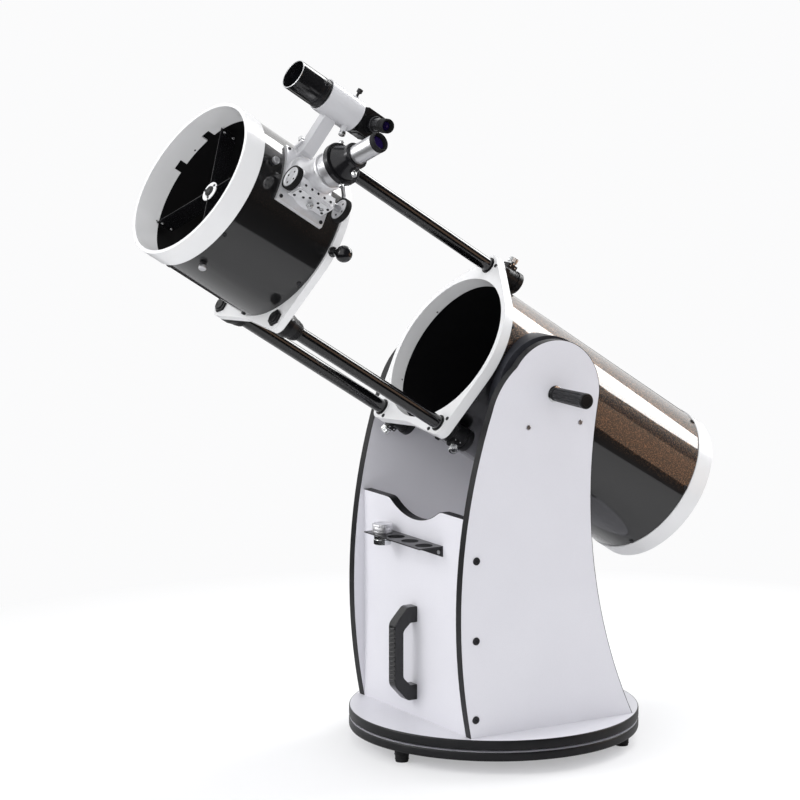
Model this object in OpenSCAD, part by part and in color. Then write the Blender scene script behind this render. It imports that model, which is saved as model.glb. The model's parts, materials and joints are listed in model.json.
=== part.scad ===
// Collapsible-truss Dobsonian reflecting telescope on a rocker-box base.
// The origin is on the floor, on the azimuth axis. +Z is up, the tube points to -Y,
// and +X is the side that carries the focuser and the finder.

/* [Base] */
// Radius of the two round base boards
disc_r = 265; // [262:1:272]
// Thickness of the melamine side and front boards
board_t = 16; // [15:0.5:17]
// Distance between the outer faces of the side boards
rocker_w = 383.2; // [382:0.2:388]
// Height of the feet
foot_h = 25; // [20:1:28]

/* [Optical tube] */
// Height of the altitude axis above the floor
axis_z = 663.2; // [655:0.1:672]
// Altitude of the tube above the horizon
tube_alt = 32.5; // [0:0.5:80]
// Outer radius of the tube
tube_r = 145; // [144.5:0.1:145.5]
// Radius of the primary mirror
mirror_r = 127; // [120:1:127]

/* [Truss] */
// Radius of the three truss rods
rod_r = 12.5; // [10:0.5:12.5]
// Distance from the tube axis to each rod
rod_pitch_r = 168.3; // [167:0.1:169]

/* [Focuser and finder] */
// Angle of the focuser around the tube from the +X side
focus_phi = 31.5; // [29:0.5:34]
// Outer radius of the focuser drawtube
draw_r = 29; // [28:0.5:29]
// Outer radius of the finder's dew shield
finder_r = 26.9; // [26:0.1:27]

/* [Hidden] */
$fn = 96;

run_gap = 0.05;      // radial clearance of a shaft in its bore
fit_gap = 0.02;      // gap between two fixed pieces
edge_t = 1;          // thickness of the black edging strip

// Base stack
ground_t = 16;
pad_h = 3.45;
turn_t = 18;
turn_z = foot_h + ground_t + 3.5;
deck_z = turn_z + turn_t;
foot_pitch_r = 240;
foot_angles = [-76, 44, 164];
pivot_r = 5;

// Rocker
side_x = rocker_w / 2;
inner_x = side_x - board_t;
front_y = -171.6;
front_top_z = 452;
front_dip_r = 150.6;
front_dip_z = 425;
dip_shoulder_r = 30;
dip_centre_z = front_dip_z + front_dip_r;
dip_overlap = 0.06;
shoulder_z = front_top_z - dip_shoulder_r + dip_overlap;
dip_span = front_dip_r + dip_shoulder_r - dip_overlap;
shoulder_x = sqrt(pow(dip_span, 2) - pow(dip_centre_z - shoulder_z, 2));
arch_r = 96;
shoulder_drop = 20;
bolt_y = -162.3;
bolt_zs = [380.6, 237.5, 95.5];
post_y = 55;
post_drop = 55.4;
post_r = 12.9;
rack_x0 = -92;
rack_w = 189;
rack_z = 392;
rack_depth = 50;
rack_t = 2;
rack_hole_r = 16.2;
rack_hole_y = front_y - 25.4;
rack_hole_xs = [-68.4, -21, 26.3, 73.6];

// Altitude bearing
flange_r = 100;
flange_x = 163;
hub_r = norm([post_y, post_drop]) - post_r - run_gap;
tension_r = 5;

// Tube stations, measured along the tube from the altitude axis
tube_wall = 1.6;
tube_in_r = tube_r - tube_wall;
liner_r = 140;
rear_s = -422.4;
rear_tube_s = -387.3;
mid_tube_s = 106;
mid_face_s = 126;
upper_ring_s = 498;
upper_tube_s = 512;
front_ring_s = 693.5;
front_liner_s = 684.5;
tube_end_s = 704;
notch_l = 14;
front_s = 733.3;
ring_r = 150;
lobe_d = 170;
lobe_r = 20;
lobe_angle = acos((ring_r - lobe_r) / lobe_d);
mid_screw_s = 100.5;
rear_screw_s = -382.5;
upper_screw_s = 519.5;
front_screw_s = 688.5;
spider_nut_s = 672;
guide_s = 505;
guide_ball_x = 187;
rod_phis = [90, -55.7, -125.7];
rod_end_s = 56;
bush_r = 15.4;
clamp_s = 62;
lock_s = 84;

// Mirror cell
mirror_face_s = -362;
mirror_t = 28;
focal_len = 1200;
cell_s = -398;
cell_t = 7;
frame_s = -420;
frame_t = 8;
knob_pitch_r = 100;
knob_phis = [30, 150, 270];

// Focuser stations, measured out from the tube axis
focus_s = 596;
shaft_z = 174;
shaft_r = 3;
shaft_y = -(draw_r + shaft_r + run_gap);
neck_z = 204;
draw_in_z = 146;
clamp_ring_z = 228;
adapter_z = 238.5;
eyepiece_z = 272;
eyepiece_end_z = 330;

// Finder
finder_x = 108;
finder_v = 224.3;
finder_front_s = 708.5;
bracket_front_s = 642.5;
bracket_end_s = 569.5;
bracket_r = 29.6;
diagonal_s = 545;
shoe_phi = 54;
shoe_s = 594;
shoe_l = 32;
shoe_floor = 152;
shoe_wall = 17;
shoe_screw_r = 162.5;
shoe_screw_h = 24;
stem_x = 98;
stem_v = 148;

// ---------- frames ----------

// Places children in the tube frame: X to the right, Y to the upper side, Z up the tube
module on_tube() translate([0, 0, axis_z]) rotate([90 - tube_alt, 0, 0]) children();

// Places children on a radius of the tube, with X pointing outward
module polar(phi, r = 0, s = 0) rotate([0, 0, phi]) translate([r, 0, s]) children();

// Places children in the focuser frame: X down the tube, Y around it, Z outward
module on_focuser() on_tube() rotate([0, 0, focus_phi]) translate([0, 0, focus_s])
    rotate([0, 90, 0]) children();

// Places children on the finder's axis, with Z up the tube
module on_finder(s = 0) on_tube() translate([finder_x, finder_v, s]) children();

module along_x(x0) translate([x0, 0, 0]) rotate([0, 90, 0]) children();

module shell(outer_r, inner_r, z0, z1) translate([0, 0, z0]) difference() {
    cylinder(r = outer_r, h = z1 - z0);
    translate([0, 0, -1]) cylinder(r = inner_r, h = z1 - z0 + 2);
}

module knurled(r, h, n, notch_r) difference() {
    cylinder(r = r, h = h);
    for (i = [0:n - 1])
        rotate(i * 360 / n) translate([r + notch_r * 0.45, 0, -1])
            cylinder(r = notch_r, h = h + 2, $fn = 16);
}

// ---------- base ----------

module ground_board() color("white")
    shell(disc_r, pivot_r + fit_gap, foot_h, foot_h + ground_t);

module feet() color("dimgray")
    for (a = foot_angles)
        rotate(a) translate([foot_pitch_r, 0, 0]) cylinder(r1 = 11.5, r2 = 14, h = foot_h);

module azimuth_pads() color("ivory")
    for (a = foot_angles)
        rotate(a) translate([foot_pitch_r - 40, 0, foot_h + ground_t])
            cylinder(r = 20, h = pad_h);

module pivot_bolt() color("silver") {
    translate([0, 0, foot_h - 7]) cylinder(r = 9, h = 7, $fn = 6);
    translate([0, 0, foot_h - 1]) cylinder(r = pivot_r, h = deck_z - foot_h + 16);
    translate([0, 0, deck_z + 0.5]) cylinder(r = 14, h = 2);
    translate([0, 0, deck_z + 2.5]) cylinder(r = 9, h = 8, $fn = 6);
}

module turntable_board() color("white")
    shell(disc_r - edge_t - fit_gap, pivot_r + run_gap, turn_z, deck_z);

// Side-board outline in (y, z): a long front sweep, a hollow rear sweep and a round top
module side_outline(inset) {
    difference() {
        intersection() {
            translate([877.2, axis_z - 384.7]) circle(r = 1071.5 - inset, $fn = 720);
            translate([-300, deck_z]) square([600, axis_z - shoulder_drop - deck_z]);
        }
        translate([1025, axis_z - 184.8]) circle(r = 945.5 + inset, $fn = 720);
    }
    translate([0, axis_z]) circle(r = arch_r - inset, $fn = 180);
    intersection() {
        translate([6, axis_z - 60.1]) circle(r = 142.2 - inset, $fn = 240);
        translate([-200, axis_z - shoulder_drop]) square([200, 160]);
    }
}

module side_slab(x0, inset) translate([x0, 0, 0]) rotate([90, 0, 90])
    linear_extrude(board_t) side_outline(inset);

module side_holes() {
    for (z = bolt_zs)
        translate([-1, bolt_y, z]) rotate([0, 90, 0]) cylinder(r = 3 + fit_gap, h = 60);
    for (y = [-post_y, post_y])
        translate([-1, y, axis_z - post_drop]) rotate([0, 90, 0])
            cylinder(r = 2.5 + fit_gap, h = 60);
    translate([-1, 0, axis_z]) rotate([0, 90, 0]) cylinder(r = 8, h = 60);
}

module side_board_right() color("gainsboro") difference() {
    side_slab(inner_x, edge_t + fit_gap);
    translate([inner_x, 0, 0]) side_holes();
}

module side_board_left() mirror([1, 0, 0]) side_board_right();

// Front-board outline in (x, z): a shallow dip in its top edge, with a rounded shoulder at each end
module front_outline(inset) difference() {
    translate([-inner_x, deck_z]) square([2 * inner_x, front_top_z - deck_z - inset]);
    translate([0, dip_centre_z]) circle(r = front_dip_r + inset, $fn = 240);
    for (side = [0, 1]) mirror([side, 0]) difference() {
        polygon([[0, front_top_z + 1], dip_end(), [shoulder_x, shoulder_z],
            [shoulder_x, front_top_z + 1]]);
        translate([shoulder_x, shoulder_z]) circle(r = dip_shoulder_r - inset, $fn = 120);
    }
}

// Where the dip meets its shoulder, inside both circles
function dip_end() = [0, dip_centre_z] + [shoulder_x, shoulder_z - dip_centre_z]
    * (front_dip_r - dip_overlap / 2) / dip_span;

module front_slab(inset) translate([0, front_y + board_t, 0]) rotate([90, 0, 0])
    linear_extrude(board_t) front_outline(inset);

module front_board() color("gainsboro") difference() {
    front_slab(edge_t + fit_gap);
    for (side = [-1, 1], z = bolt_zs)
        translate([side * inner_x, bolt_y, z]) rotate([0, 90, 0])
            cylinder(r = 3 + fit_gap, h = 86, center = true);
    for (p = fitting_points()) translate([p[0], front_y + 12, p[1]]) rotate([90, 0, 0])
        cylinder(r = 2 + fit_gap, h = 14);
}

module board_edging() color("black") {
    for (side = [-1, 1]) translate([side < 0 ? -side_x : inner_x, 0, 0])
        rotate([90, 0, 90]) linear_extrude(board_t) difference() {
            side_outline(0);
            side_outline(edge_t);
        }
    translate([0, front_y + board_t, 0]) rotate([90, 0, 0]) linear_extrude(board_t)
        intersection() {
            difference() {
                front_outline(0);
                front_outline(edge_t);
            }
            translate([-inner_x + fit_gap, 0]) square([2 * (inner_x - fit_gap), 600]);
        }
    shell(disc_r, disc_r - edge_t, turn_z, deck_z - fit_gap);
}

// Wood-screw places on the front board in (x, z): handle feet, then rack flange
function fitting_points() = [[0, 109], [0, 252], [rack_x0 + 10, rack_z - 12],
    [rack_x0 + rack_w - 10, rack_z - 12]];

module base_fasteners() color("dimgray") {
    for (side = [-1, 1]) mirror([side < 0 ? 1 : 0, 0, 0]) {
        for (z = bolt_zs) translate([side_x, bolt_y, z]) rotate([0, 90, 0]) {
            cylinder(r = 7, h = 2.2);
            translate([0, 0, -board_t - 40]) cylinder(r = 3, h = board_t + 41);
        }
        for (y = [-post_y, post_y])
            translate([side_x, y, axis_z - post_drop]) rotate([0, 90, 0]) {
                cylinder(r = 4.6, h = 1.8);
                translate([0, 0, -board_t - 7]) cylinder(r = 2.5, h = board_t + 8);
            }
    }
    for (i = [0:3]) translate([fitting_points()[i][0], front_y, fitting_points()[i][1]])
        rotate([90, 0, 0]) {
            translate([0, 0, -11]) cylinder(r = 2, h = 12);
            translate([0, 0, i < 2 ? 7.05 : 2.05]) cylinder(r1 = 4, r2 = 3, h = 2.2);
            translate([0, 0, 0.5]) cylinder(r = 2, h = i < 2 ? 7 : 2);
        }
}

module bearing_posts() color("ivory")
    for (side = [-1, 1], y = [-post_y, post_y])
        mirror([side < 0 ? 1 : 0, 0, 0])
            translate([164.5, y, axis_z - post_drop]) rotate([0, 90, 0]) difference() {
                cylinder(r = post_r, h = inner_x - 164.5);
                translate([0, 0, 2]) cylinder(r = 2.5 + fit_gap, h = 30);
            }

module carry_handle() color("black") difference() {
    translate([-11, front_y, 0]) rotate([90, 0, 90]) linear_extrude(22) union() {
        difference() {
            polygon([[0, 95], [0, 267], [-20, 267], [-47, 238], [-47, 124], [-20, 95]]);
            polygon([[1, 123], [1, 238], [-14, 238], [-29, 224], [-29, 138], [-14, 123]]);
        }
    }
    for (z = [109, 252]) translate([0, front_y + 1, z]) rotate([90, 0, 0]) {
        cylinder(r = 2 + fit_gap, h = 60);
        translate([0, 0, 8]) cylinder(r = 4.5, h = 60);
    }
}

module eyepiece_rack() color("dimgray") difference() {
    union() {
        translate([rack_x0, front_y - rack_depth, rack_z - rack_t])
            cube([rack_w, rack_depth, rack_t]);
        translate([rack_x0, front_y - rack_t, rack_z - 19]) cube([rack_w, rack_t, 19]);
    }
    for (x = rack_hole_xs) translate([x, rack_hole_y, rack_z - 5])
        cylinder(r = rack_hole_r, h = 10);
    for (i = [2, 3]) translate([fitting_points()[i][0], front_y + 1, fitting_points()[i][1]])
        rotate([90, 0, 0]) cylinder(r = 2 + fit_gap, h = 10);
}

module spare_eyepiece() color("silver")
    translate([rack_hole_xs[0], rack_hole_y, rack_z + fit_gap]) {
        shell(15.875, 14.4, -22, 0);
        cylinder(r = 18, h = 11);
        translate([0, 0, 11]) cylinder(r1 = 18.6, r2 = 17, h = 5);
    }

// ---------- altitude bearing ----------

module bearing_cup() difference() {
    union() {
        along_x(90) cylinder(r = flange_r, h = flange_x - 90);
        along_x(90) cylinder(r = hub_r, h = inner_x - 0.6 - 90);
    }
    along_x(80) cylinder(r = flange_r - 5, h = flange_x - 84);
    along_x(80) cylinder(r = hub_r - 5, h = inner_x - 5 - 80);
    translate([0, 0, -300]) cylinder(r = tube_r + fit_gap, h = 600);
}

module bearing_boss() difference() {
    along_x(130) cylinder(r = 16, h = inner_x - 4 - 130);
    along_x(120) cylinder(r = tension_r + run_gap, h = 80);
    translate([0, 0, -300]) cylinder(r = tube_r + fit_gap, h = 600);
}

module altitude_bearings() color("black") on_tube()
    for (side = [-1, 1]) mirror([side < 0 ? 1 : 0, 0, 0]) difference() {
        union() {
            bearing_cup();
            bearing_boss();
        }
        along_x(120) cylinder(r = tension_r + run_gap, h = 80);
    }

module tension_handle() {
    along_x(148) cylinder(r = tension_r, h = side_x + 4 - 148);
    along_x(side_x + 0.1) cylinder(r = 15, h = 2);
    along_x(side_x + 2.1) difference() {
        cylinder(r1 = 11.5, r2 = 13.6, h = 98);
        for (i = [0:9]) rotate(i * 36) translate([14, 0, 10]) rotate([0, 1.2, 0])
            cylinder(r = 2.4, h = 100, $fn = 24);
    }
}

module tension_handle_right() color("black") translate([0, 0, axis_z]) tension_handle();

module tension_handle_left() mirror([1, 0, 0]) tension_handle_right();

// ---------- lower tube ----------

module screw_holes(s, phi0) for (i = [0:5]) rotate([0, 0, phi0 + 60 * i])
    translate([tube_in_r - 8, 0, s]) rotate([0, 90, 0]) cylinder(r = 2 + fit_gap, h = 20);

module screw_ring(s, phi0) for (i = [0:5]) polar(phi0 + 60 * i, tube_in_r - 3, s)
    rotate([0, 90, 0]) {
        cylinder(r = 2, h = tube_wall + 3.5);
        translate([0, 0, tube_wall + 3.05]) cylinder(r1 = 4.2, r2 = 2.8, h = 2.2);
    }

module lower_tube() color("black") on_tube() difference() {
    shell(tube_r, tube_in_r, rear_tube_s, mid_tube_s);
    screw_holes(mid_screw_s, 30);
    screw_holes(rear_screw_s, 0);
}

// Ring flange with one rounded lobe per truss rod, its sides tangent to ring and lobe
module lobed_flange(s0, s1) translate([0, 0, s0]) linear_extrude(s1 - s0) {
    rotate(20) circle(r = ring_r, $fn = 180);
    for (phi = rod_phis) rotate(phi) {
        translate([lobe_d, 0]) circle(r = lobe_r, $fn = 48);
        polygon([[0, 0], tangent_point(0, ring_r, 1), tangent_point(lobe_d, lobe_r, 1),
            tangent_point(lobe_d, lobe_r, -1), tangent_point(0, ring_r, -1)]);
    }
}

// Where the lobe's straight side meets a circle of radius r at x, just inside its edge
function tangent_point(x, r, side) = [x + (r - fit_gap) * cos(lobe_angle),
    side * (r - fit_gap) * sin(lobe_angle)];

module clamp_screw_holes(s0, h) for (phi = rod_phis, t = [-23.5, 23.5])
    polar(phi, lobe_d, s0) translate([0, t, 0]) cylinder(r = 2.5 + fit_gap, h = h, $fn = 24);

module mid_ring() color("white") on_tube() difference() {
    union() {
        lobed_flange(mid_tube_s, mid_face_s);
        shell(tube_in_r - fit_gap, liner_r, 97, mid_tube_s + 1);
    }
    translate([0, 0, 90]) cylinder(r = liner_r, h = 60, $fn = 180);
    for (phi = rod_phis) polar(phi, rod_pitch_r, 90)
        cylinder(r = bush_r + fit_gap, h = 60);
    screw_holes(mid_screw_s, 30);
    clamp_screw_holes(90, 60);
}

module rear_ring() color("white") on_tube() difference() {
    union() {
        shell(tube_r + 2, 134, rear_s, rear_tube_s - fit_gap);
        shell(tube_in_r - fit_gap, liner_r, rear_tube_s - 1, -374);
        for (phi = knob_phis) rotate([0, 0, phi]) translate([0, -16, frame_s])
            cube([136, 32, frame_t]);
        translate([0, 0, frame_s]) cylinder(r = 34, h = frame_t);
    }
    screw_holes(rear_screw_s, 0);
    for (phi = knob_phis) polar(phi, knob_pitch_r, rear_s - 5) {
        cylinder(r = 3 + run_gap, h = 30);
        translate([-20, 0, 0]) cylinder(r = 2.5 + fit_gap, h = 30);
    }
}

module lower_tube_screws() color("dimgray") on_tube() {
    screw_ring(mid_screw_s, 30);
    screw_ring(rear_screw_s, 0);
    for (phi = rod_phis, t = [-23.5, 23.5]) polar(phi, lobe_d, 0) translate([0, t, 0]) {
        translate([0, 0, 98]) cylinder(r = 2.5, h = 28, $fn = 24);
        translate([0, 0, mid_face_s]) cylinder(r = 3.6, h = 1.2, $fn = 24);
    }
    for (phi = knob_phis) polar(phi, knob_pitch_r - 20, 0) {
        translate([0, 0, frame_s - 6]) cylinder(r = 2.5, h = 24);
        translate([0, 0, frame_s - 10]) cylinder(r = 5, h = 6, $fn = 6);
    }
}

// Bushing and clamp block that guide each rod behind the lobe
module rod_clamps() color("black") on_tube() for (phi = rod_phis) polar(phi, rod_pitch_r)
    difference() {
        union() {
            translate([0, 0, mid_tube_s - 1]) cylinder(r = bush_r, h = 21.6);
            translate([0, 0, clamp_s]) cylinder(r = 19, h = mid_tube_s - fit_gap - clamp_s);
            translate([0, 0, clamp_s - 6]) cylinder(r = 21, h = 10);
            translate([-5, -28, 97]) cube([14, 56, mid_tube_s - fit_gap - 97]);
            translate([0, -9, lock_s - 10]) cube([25, 18, 20]);
        }
        cylinder(r = rod_r + run_gap, h = 200);
        translate([0, 0, lock_s]) rotate([0, 90, 0]) cylinder(r = 4 + run_gap, h = 60);
        for (t = [-23.5, 23.5]) translate([lobe_d - rod_pitch_r, t, 90])
            cylinder(r = 2.5 + fit_gap, h = 30, $fn = 24);
        translate([-rod_pitch_r, 0, 0]) cylinder(r = tube_r + 0.5, h = 200);
    }

module rod_lock_screw(i) color("silver") on_tube() polar(rod_phis[i], rod_pitch_r, lock_s)
    rotate([0, 90, 0]) {
        translate([0, 0, rod_r + 0.1]) cylinder(r = 4, h = 16);
        translate([0, 0, 25.2]) cylinder(r = 6.5, h = 4);
        translate([0, 0, 29]) knurled(9, 9, 16, 1);
    }

module rod_lock_screw_1() rod_lock_screw(0);
module rod_lock_screw_2() rod_lock_screw(1);
module rod_lock_screw_3() rod_lock_screw(2);

// ---------- mirror cell ----------

module collimation_springs() color("silver") on_tube() for (phi = knob_phis)
    polar(phi, knob_pitch_r, frame_s + frame_t + 0.3) for (i = [0:3])
        translate([0, 0, 1.3 + i * 3.4]) rotate_extrude() translate([6, 0]) circle(r = 1.2);

module mirror_cell() color("dimgray") on_tube() difference() {
    union() {
        translate([0, 0, cell_s]) cylinder(r = 112, h = cell_t);
        for (i = [0:2]) rotate([0, 0, 90 + 120 * i]) translate([0, -12, cell_s])
            cube([131.5, 24, cell_t]);
    }
    translate([0, 0, cell_s - 1]) cylinder(r = 45, h = cell_t + 2);
    for (phi = knob_phis) polar(phi, knob_pitch_r, cell_s - 1)
        cylinder(r = 3.6, h = cell_t + 2);
    for (i = [0:2]) rotate([0, 0, 90 + 120 * i]) translate([74, 0, cell_s - 1])
        cylinder(r = 16, h = cell_t + 2);
}

// A post beside the mirror with a hook over its front edge
module mirror_clips() color("black") on_tube() for (i = [0:2]) rotate([0, 0, 90 + 120 * i]) {
    translate([mirror_r + 0.6, -7, cell_s + cell_t + fit_gap]) cube([3.8, 14, 33]);
    translate([mirror_r - 6, -7, mirror_face_s + 1]) cube([10.4, 14, 3]);
}

// Concave front face: depth of the paraboloid at radius r
function sag(r) = r * r / (4 * focal_len);

module primary_mirror() color("lightsteelblue") on_tube() translate([0, 0, mirror_face_s])
    rotate_extrude($fn = 120) polygon(concat([[0, -mirror_t], [mirror_r, -mirror_t]],
        [for (i = [12:-1:0]) [mirror_r * i / 12, sag(mirror_r * i / 12) - sag(mirror_r)]]));

module collimation_knob(i) color("black") on_tube()
    polar(knob_phis[i], knob_pitch_r, frame_s) {
        translate([0, 0, -6]) cylinder(r = 3, h = 32);
        translate([0, 0, -3]) cylinder(r = 7, h = 2.8);
        translate([0, 0, -17]) knurled(12, 14, 12, 2);
    }

module collimation_knob_1() collimation_knob(0);
module collimation_knob_2() collimation_knob(1);
module collimation_knob_3() collimation_knob(2);

// ---------- truss and upper tube ----------

module truss_rods() color("black") on_tube() for (phi = rod_phis)
    polar(phi, rod_pitch_r, rod_end_s) difference() {
        cylinder(r = rod_r, h = upper_ring_s - fit_gap - rod_end_s);
        translate([0, 0, 410]) cylinder(r = 6 + fit_gap, h = 60);
    }

module rod_sockets() color("black") on_tube() for (phi = rod_phis)
    polar(phi, rod_pitch_r, 460) difference() {
        union() {
            cylinder(r1 = 15, r2 = 22, h = 26);
            translate([0, 0, 26]) cylinder(r = 22, h = upper_ring_s - fit_gap - 486);
        }
        translate([0, 0, -1]) cylinder(r = rod_r + fit_gap, h = 60);
        translate([-rod_pitch_r, 0, -10]) cylinder(r = tube_r + 3.5, h = 80);
    }

module rod_caps() color("black") on_tube() for (phi = rod_phis) polar(phi, rod_pitch_r) {
    translate([0, 0, 470]) cylinder(r = 6, h = 44);
    translate([0, 0, upper_tube_s + fit_gap]) cylinder(r = 13.6, h = 4.5, $fn = 6);
    translate([0, 0, upper_tube_s + 4]) cylinder(r = 10.5, h = 3);
}

module upper_ring() color("white") on_tube() difference() {
    union() {
        lobed_flange(upper_ring_s, upper_tube_s);
        shell(tube_in_r - fit_gap, liner_r, upper_tube_s - 1, 525);
    }
    translate([0, 0, 490]) rotate(20) cylinder(r = liner_r, h = 60, $fn = 180);
    for (phi = rod_phis) polar(phi, rod_pitch_r, 490) cylinder(r = 6 + fit_gap, h = 60);
    screw_holes(upper_screw_s, -30);
    translate([0, 0, guide_s]) along_x(143.5) cylinder(r = 3 + fit_gap, h = 20);
}

module upper_tube() color("black") on_tube() difference() {
    shell(tube_r, tube_in_r, upper_tube_s + fit_gap, tube_end_s);
    screw_holes(upper_screw_s, -30);
    screw_holes(front_screw_s, 30);
    for (i = [0:3]) rotate([0, 0, focus_phi + 90 * i]) translate([130, 0, spider_nut_s])
        rotate([0, 90, 0]) cylinder(r = 2.5 + fit_gap, h = 30);
    rotate([0, 0, focus_phi]) translate([130, 0, focus_s]) rotate([0, 90, 0])
        cylinder(r = draw_r + 1, h = 30);
}

// Band over the tube's end and liner inside it, with pairs of notches in the liner
module front_ring() color("white") on_tube() difference() {
    union() {
        shell(tube_r + 1.5, liner_r, tube_end_s + fit_gap, front_s);
        shell(tube_r + 1.5, tube_r + fit_gap, front_ring_s, tube_end_s + 1);
        shell(tube_in_r - fit_gap, liner_r, front_liner_s, tube_end_s + 1);
    }
    screw_holes(front_screw_s, 30);
    for (phi = [-105.25, -74.75, 14.75, 45.25, 134.75, 165.25]) rotate([0, 0, phi])
        translate([130, -9, front_liner_s - 4]) cube([13.6, 18, notch_l + 4]);
}

module upper_tube_screws() color("dimgray") on_tube() {
    screw_ring(upper_screw_s, -30);
    screw_ring(front_screw_s, 30);
    for (i = [0:3]) polar(focus_phi + 90 * i, tube_r + fit_gap, spider_nut_s)
        rotate([0, 90, 0]) spider_nut();
}

// Knurled cap on a collar, tapped for the stud of a vane
module spider_nut() difference() {
    union() {
        cylinder(r = 6, h = 1.4);
        cylinder(r = 4.6, h = 7);
        translate([0, 0, 6.4]) knurled(6.9, 5.2, 14, 0.8);
    }
    translate([0, 0, -1]) cylinder(r = 2.5 + fit_gap, h = 11);
}

module guide_knob() color("black") on_tube() translate([0, 0, guide_s]) {
    along_x(144) cylinder(r = 3, h = 12);
    along_x(ring_r + fit_gap) cylinder(r1 = 5, r2 = 8.5, h = 22);
    along_x(170) cylinder(r = 8.5, h = 6);
    translate([guide_ball_x, 0, 0]) sphere(r = 14.5);
}

module spider() color("black") on_tube() {
    difference() {
        union() {
            shell(18, 6 + run_gap, 648, 686);
            for (i = [0:3]) rotate([0, 0, focus_phi + 90 * i]) {
                translate([17.5, -0.5, 655]) cube([122, 1, 34]);
                translate([136, 0, spider_nut_s]) rotate([0, 90, 0]) cylinder(r = 2.5, h = 18);
            }
        }
        for (i = [0:2]) rotate([0, 0, 120 * i]) translate([12, 0, 640])
            cylinder(r = 1.6, h = 60, $fn = 24);
    }
}

module secondary_slab(d0, d1) rotate([0, 0, focus_phi]) translate([0, 0, focus_s])
    rotate([0, -45, 0]) translate([-60, -60, d0]) cube([120, 120, d1 - d0]);

module secondary_mirror() color("lightsteelblue") on_tube() intersection() {
    translate([0, 0, 540]) cylinder(r = 30, h = 120);
    secondary_slab(0, 9);
}

module secondary_holder() color("black") on_tube() {
    difference() {
        translate([0, 0, 545]) cylinder(r = 29, h = 95);
        secondary_slab(-120, 9.05);
    }
    translate([0, 0, 635]) cylinder(r = 6, h = 56);
    translate([0, 0, 686.1]) cylinder(r = 9, h = 4);
}

// ---------- focuser ----------

module tube_cut() rotate([0, 90, 0]) translate([0, 0, -150])
    cylinder(r = tube_r + fit_gap, h = 300);

// Places children in the finder shoe's frame: X outward, Y around the tube, Z up the tube
module on_shoe() on_tube() rotate([0, 0, shoe_phi]) translate([0, 0, shoe_s]) children();

// Shoe that holds the finder's foot, on the upper edge of the saddle
module shoe_body() translate([shoe_floor - 10, -14, 0]) {
    cube([14, 28, shoe_l]);
    translate([0, 23, 0]) cube([shoe_wall + 10, 5, shoe_l]);
}

module shoe_cuts() {
    translate([shoe_floor, -9, -1]) cube([40, 18, shoe_l + 2]);
    translate([shoe_screw_r, 0, shoe_screw_h]) rotate([-90, 0, 0])
        cylinder(r = 2.5 + run_gap, h = 40);
}

// Curved saddle with a round boss, a bell-shaped neck and the housing of the focus shaft
module saddle_body() {
    intersection() {
        rotate([0, 90, 0]) translate([0, 0, -51]) cylinder(r = tube_r + 6, h = 102);
        translate([-51, -57, 120]) cube([102, 114, 60]);
    }
    translate([0, 0, 138]) cylinder(r = 47, h = 17);
    translate([0, 0, 155]) rotate_extrude() polygon(concat([[20, 0], [44, 0]],
        [for (a = [0:15:90]) [31.5 + 12.5 * (1 - sin(a)), 2 + 28 * (1 - cos(a))]],
        [[31.5, neck_z - 155], [20, neck_z - 155]]));
    translate([-38, -46, 150]) cube([76, 22, 32]);
}

module saddle_cuts() {
    tube_cut();
    translate([0, 0, 100]) cylinder(r = draw_r + run_gap, h = 150);
    translate([-60, shaft_y, shaft_z]) rotate([0, 90, 0])
        cylinder(r = shaft_r + run_gap, h = 120);
    translate([0, -60, 166]) rotate([-90, 0, 0]) cylinder(r = 2.5 + run_gap, h = 24);
}

module focuser_base() color("silver") difference() {
    union() {
        on_focuser() saddle_body();
        on_shoe() shoe_body();
    }
    on_focuser() saddle_cuts();
    on_shoe() shoe_cuts();
}

module drawtube() color("silver") on_focuser() {
    shell(draw_r, 25.5, draw_in_z, clamp_ring_z + 1);
    difference() {
        shell(37.5, 25.5, clamp_ring_z, adapter_z);
        for (a = [100, 280]) rotate([0, 0, a]) translate([24, 0, 233]) rotate([0, 90, 0])
            cylinder(r = 2 + fit_gap, h = 20);
    }
    for (a = [100, 280]) rotate([0, 0, a]) translate([26, 0, 233]) rotate([0, 90, 0]) {
        cylinder(r = 2, h = 15);
        translate([0, 0, 13]) knurled(4.5, 6, 12, 0.7);
    }
}

module focus_wheel(x0) translate([x0, 0, 0]) rotate([0, 90, 0]) difference() {
    cylinder(r = 22, h = 11);
    for (z = [-1, 9]) translate([0, 0, z]) shell(18.5, 6, 0, 3);
    for (i = [0:3]) rotate(45 + 90 * i) translate([12, 0, -1]) cylinder(r = 3, h = 20);
}

module focus_knobs() color("dimgray") on_focuser() translate([0, shaft_y, shaft_z]) {
    translate([-50, 0, 0]) rotate([0, 90, 0]) cylinder(r = shaft_r, h = 108);
    translate([-45, 0, 0]) rotate([0, 90, 0]) cylinder(r = 5.5, h = 6);
    translate([39, 0, 0]) rotate([0, 90, 0]) cylinder(r = 5.5, h = 16);
    focus_wheel(-56);
    focus_wheel(54);
}

module focus_lock_screw() color("silver") on_focuser()
    translate([0, -58, 166]) rotate([-90, 0, 0]) {
        cylinder(r = 2.5, h = 20);
        knurled(6, 7, 14, 0.8);
    }

module eyepiece_adapter() color("black") on_focuser() difference() {
    union() {
        translate([0, 0, 214]) cylinder(r = 25.4, h = 30);
        translate([0, 0, adapter_z + fit_gap]) cylinder(r1 = 31, r2 = 21, h = 23);
        translate([0, 0, 256]) cylinder(r = 20.5, h = 9);
        translate([0, 0, 264]) cylinder(r = 23, h = eyepiece_z - 264);
    }
    translate([0, 0, 200]) cylinder(r = 15.95, h = 90);
    translate([0, 0, 258]) rotate([0, 0, -68]) rotate([0, 90, 0])
        cylinder(r = 2 + run_gap, h = 40);
}

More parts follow.
